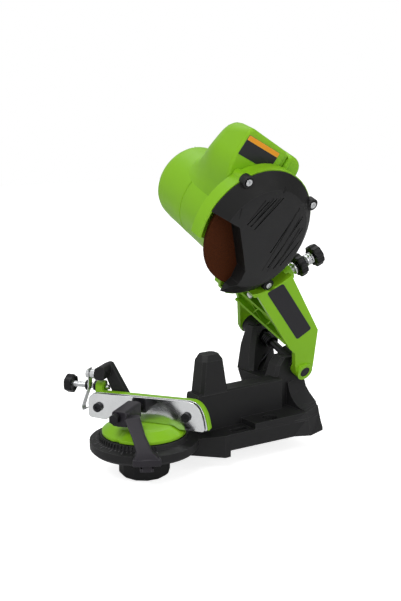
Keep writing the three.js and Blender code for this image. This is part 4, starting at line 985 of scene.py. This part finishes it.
def build_clamp_arm():
    leg, knee = CLAMP_LEG, CLAMP_KNEE
    low, high = leg["up"]
    foot = joined(
        stem_skin(),
        lug_skin(),
        block((leg["start"], leg["end"]), (-leg["half"], leg["half"]), leg["up"]),
        block(knee["reach"], (-knee["half"], knee["half"]), (low, knee["top"])),
        spun([(SWIVEL_HOLE, low), (leg["eye"], low), (leg["eye"], high), (SWIVEL_HOLE, high)]),
    )
    head = slab(CLAMP_HEAD, CLAMP_HEAD_SPAN, CLAMP_SOFT)
    skin = joined(placed(foot, turned("Z", CLAMP_TURN)), head)
    arm = finished("clamp_arm_shell", skin, VISE, CLAMP_GREY, "vise", SHELL_SOFT)
    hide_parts("clamp_arm")


def build_adjuster():
    place = VISE @ Matrix.Translation((0.0, ADJUSTER_LINE["y"], ADJUSTER_LINE["up"])) @ ALONG_X
    core, (outer, inner) = ADJUSTER["core"], ADJUSTER["thread"]
    bar = joined(
        threaded(ADJUSTER["radius"], outer, inner),
        spun([(core, inner), (core, ADJUSTER["tip"])], THREAD_FACETS),
        spun([(core, ADJUSTER["end"]), (core, outer)], THREAD_FACETS),
    )
    screw = finished("adjuster_screw_threaded", bar, place, ZINC, "adjuster")
    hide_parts("adjuster_screw")
    grip = spun(ADJUSTER_KNOB, FACETS, ADJUSTER_LOBES)
    knob = finished("adjuster_knob_grip", grip, place, BLACK_GLOSS, "adjuster")
    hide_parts("adjuster_knob")


# Base

def shelf_up(radius):
    return SHELF_AT + SHELF_SLOPE * (radius - PLATFORM["wall"])


def scale_turns():
    count = round(RIB_REACH / RIB_STEP)
    return [INDEX_TURN + RIB_STEP * k for k in range(-count, count + 1)]


def rib_skin():
    """One rib on the platform's step."""
    reach = (PLATFORM["wall"] - RIB["sunk"], PLATFORM["wall"] + RIB["proud"])
    return block(reach, (-RIB["half"], RIB["half"]), (PLATFORM["wall_low"], PLATFORM["wall_high"]))


def mark_skin(length):
    """One raised mark, which follows the slope of the platform's outer ring."""
    start, end = PLATFORM["shelf_in"], PLATFORM["shelf_in"] + length
    outline = [(start, 0.0), (end, 0.0), (end, MARK["proud"]), (start, MARK["proud"])]
    sides = (-MARK["half"], MARK["half"])
    return skinned([[Vector((radius, y, shelf_up(radius) + up)) for radius, up in outline] for y in sides])


def build_scale():
    """Ribs round the platform's step and raised marks on the ring outside it."""
    turns = scale_turns()
    ribs, marks = [], []
    for k, turn in enumerate(turns):
        is_long = (k - len(turns) // 2) % MARKS_PER_LONG == 0
        ribs.append(placed(rib_skin(), turned("Z", turn)))
        marks.append(placed(mark_skin(MARK["long"] if is_long else MARK["short"]), turned("Z", turn)))
    finished("swivel_scale_ribs", joined(*ribs), SWIVEL, BLACK, "base", RIB["soft"])
    finished("swivel_scale_marks", joined(*marks), SWIVEL, MARK_GREY, "base")


def degree_number(step):
    """A plain degree number, raised on the outer ring and read from outside."""
    words = bpy.data.curves.new("degree_number", "FONT")
    words.body = str(abs(step) * NUMBER_STEP)
    words.size = NUMBER_SIZE
    words.extrude = NUMBER_THICK
    words.align_x = "CENTER"
    words.resolution_u = NUMBER_STEPS
    piece = bpy.data.objects.new(f"degree_number_{step + NUMBERS_EACH_WAY}", words)
    bpy.context.scene.collection.objects.link(piece)
    fall = math.degrees(math.atan(-SHELF_SLOPE))
    turn = turned("Z", INDEX_TURN + step * NUMBER_STEP)
    shelf = Matrix.Translation((NUMBER_RING, 0.0, shelf_up(NUMBER_RING)))
    piece.matrix_world = SWIVEL @ turn @ shelf @ turned("Y", fall) @ turned("Z", 90.0)
    painted(piece, MARK_GREY)
    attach(piece, "base")


def build_numbers():
    """Degree numbers both ways from the index."""
    for step in range(-NUMBERS_EACH_WAY, NUMBERS_EACH_WAY + 1):
        degree_number(step)


def build_pieces():
    build_switch_box()
    build_labels()
    build_cover_details()
    build_motor_cap()
    build_depth_stop()
    build_return_spring()
    build_vise()
    build_stop_arm()
    build_clamp_arm()
    build_adjuster()
    build_scale()
    build_numbers()


# Studio

CAMERA_PLACE = (-431.6, -710.9, 313.8)  # from the middle of the part's own base frame
CAMERA_AZIMUTH = -35.08
CAMERA_ELEVATION = 11.59
PHOTO_FOCAL = 950.0  # pixels
PHOTO_HEIGHT = 601
SENSOR = 36.0


def add_camera():
    data = bpy.data.cameras.new("photo_camera")
    data.sensor_width = SENSOR
    data.lens = PHOTO_FOCAL / PHOTO_HEIGHT * SENSOR
    camera = bpy.data.objects.new("photo_camera", data)
    bpy.context.scene.collection.objects.link(camera)
    azimuth, elevation = math.radians(CAMERA_AZIMUTH), math.radians(CAMERA_ELEVATION)
    back = Vector((
        math.sin(azimuth) * math.cos(elevation),
        -math.cos(azimuth) * math.cos(elevation),
        math.sin(elevation),
    ))
    camera.location = BASE @ Vector(CAMERA_PLACE)
    camera.rotation_mode = "QUATERNION"
    camera.rotation_quaternion = (-back).to_track_quat("-Z", "Y")
    bpy.context.scene.camera = camera


def add_lamp(name, place_m, size_m, watts):
    data = bpy.data.lights.new(name, "AREA")
    data.shape = "DISK"
    data.size = size_m
    data.energy = watts
    lamp = bpy.data.objects.new(name, data)
    lamp.location = place_m
    lamp.rotation_mode = "QUATERNION"
    lamp.rotation_quaternion = (Vector(AIM_M) - Vector(place_m)).to_track_quat("-Z", "Y")
    bpy.context.scene.collection.objects.link(lamp)


AIM_M = (-0.02, 0.0, 0.12)
FLOOR_UP_M = -0.0195
FLOOR_SIZE_M = 6.0
FLOOR_GLOW = 0.80
FLOOR_TONE = (0.80, 0.80, 0.80, 1.0)
CARD_TONE = (0.012, 0.013, 0.020, 1.0)
WHITE = (1.0, 1.0, 1.0, 1.0)
SOFT_LIGHT = 0.42
MIRRORED_LIGHT = (0.18, 1.0)
PALE_SIDE = (-0.62, -0.10, 0.78)
PALE_SPAN = (-0.7, 0.8)  # how far a direction points to the pale side at the darkest and at the palest
DARK_CARD = {"along": (-58.0, -25.0), "out": -138.0, "up": (-7.0, 16.0)}  # in the vise's frame
LAMPS = (  # name, place, size and watts
    ("key", (-1.2, -0.9, 1.5), 0.9, 17.0),
    ("fill", (0.6, -1.7, 0.8), 1.2, 8.0),
    ("top", (0.2, 0.5, 1.8), 1.4, 9.0),
)


def switched(tree, mask, off, on):
    """One shader where the mask is 0 and another where it is 1."""
    mix = tree.nodes.new("ShaderNodeMixShader")
    for socket, source in ((mix.inputs["Fac"], mask), (mix.inputs[1], off), (mix.inputs[2], on)):
        tree.links.new(source, socket)
    return mix.outputs[0]


def light_world():
    """Soft even light, a white backdrop for the camera, and a paler and a darker side for mirrors."""
    world = bpy.data.worlds.new("studio")
    world.use_nodes = True
    bpy.context.scene.world = world
    tree = world.node_tree
    soft = tree.nodes["Background"]
    soft.inputs["Color"].default_value = WHITE
    soft.inputs["Strength"].default_value = SOFT_LIGHT
    path = tree.nodes.new("ShaderNodeLightPath")
    mirrored = tree.nodes.new("ShaderNodeMath")
    mirrored.operation = "MAXIMUM"
    tree.links.new(path.outputs["Is Glossy Ray"], mirrored.inputs[0])
    tree.links.new(path.outputs["Is Transmission Ray"], mirrored.inputs[1])
    place = tree.nodes.new("ShaderNodeTexCoord")
    side = tree.nodes.new("ShaderNodeVectorMath")
    side.operation = "DOT_PRODUCT"
    side.inputs[1].default_value = PALE_SIDE
    tree.links.new(place.outputs["Generated"], side.inputs[0])
    paleness = tree.nodes.new("ShaderNodeMapRange")
    paleness.inputs["From Min"].default_value, paleness.inputs["From Max"].default_value = PALE_SPAN
    paleness.inputs["To Min"].default_value, paleness.inputs["To Max"].default_value = MIRRORED_LIGHT
    tree.links.new(side.outputs["Value"], paleness.inputs["Value"])
    seen = tree.nodes.new("ShaderNodeBackground")
    tree.links.new(paleness.outputs[0], seen.inputs["Strength"])
    white = tree.nodes.new("ShaderNodeBackground")
    white.inputs["Color"].default_value = WHITE
    seen.inputs["Color"].default_value = WHITE
    inner = switched(tree, mirrored.outputs[0], soft.outputs[0], seen.outputs[0])
    whole = switched(tree, path.outputs["Is Camera Ray"], inner, white.outputs[0])
    tree.links.new(whole, tree.nodes["World Output"].inputs["Surface"])


def floor_paint():
    """Pale floor that fades to the white backdrop for the camera and keeps a faint shadow."""
    paint = Paint("pale_floor", Roughness=0.9, Specular_IOR_Level=0.0)
    paint.shader.inputs["Base Color"].default_value = FLOOR_TONE
    tree = paint.tree
    glow = tree.nodes.new("ShaderNodeEmission")
    glow.inputs["Strength"].default_value = FLOOR_GLOW
    both = tree.nodes.new("ShaderNodeAddShader")
    tree.links.new(paint.shader.outputs[0], both.inputs[0])
    tree.links.new(glow.outputs[0], both.inputs[1])
    path = tree.nodes.new("ShaderNodeLightPath")
    whole = switched(tree, path.outputs["Is Camera Ray"], paint.shader.outputs[0], both.outputs[0])
    tree.links.new(whole, tree.nodes["Material Output"].inputs["Surface"])
    return paint.material


def add_floor():
    mesh = bpy.data.meshes.new("floor")
    half = FLOOR_SIZE_M / 2
    corners = [(-half, -half, 0.0), (half, -half, 0.0), (half, half, 0.0), (-half, half, 0.0)]
    mesh.from_pydata(corners, [], [(0, 1, 2, 3)])
    floor = bpy.data.objects.new("floor", mesh)
    floor.location = (0.0, 0.0, FLOOR_UP_M)
    bpy.context.scene.collection.objects.link(floor)
    floor.data.materials.append(floor_paint())


def add_dark_card():
    """A dark card that only mirrors see: the polished jaw shows it beside the clamp arm."""
    mesh = bpy.data.meshes.new("dark_card")
    (left, right), out, (low, high) = DARK_CARD["along"], DARK_CARD["out"], DARK_CARD["up"]
    corners = [(left, out, low), (right, out, low), (right, out, high), (left, out, high)]
    mesh.from_pydata(corners, [], [(0, 1, 2, 3)])
    mesh.transform(VISE)
    card = bpy.data.objects.new("dark_card", mesh)
    bpy.context.scene.collection.objects.link(card)
    paint = Paint("card_black", Roughness=1.0, Specular_IOR_Level=0.0)
    paint.shader.inputs["Base Color"].default_value = CARD_TONE
    card.data.materials.append(paint.material)
    card.visible_camera = False
    card.visible_diffuse = False
    card.visible_shadow = False


def build_studio():
    add_camera()
    light_world()
    add_floor()
    add_dark_card()
    for lamp in LAMPS:
        add_lamp(*lamp)
    bpy.context.scene.view_settings.view_transform = "Standard"


build_studio()
dress_nodes()
build_pieces()
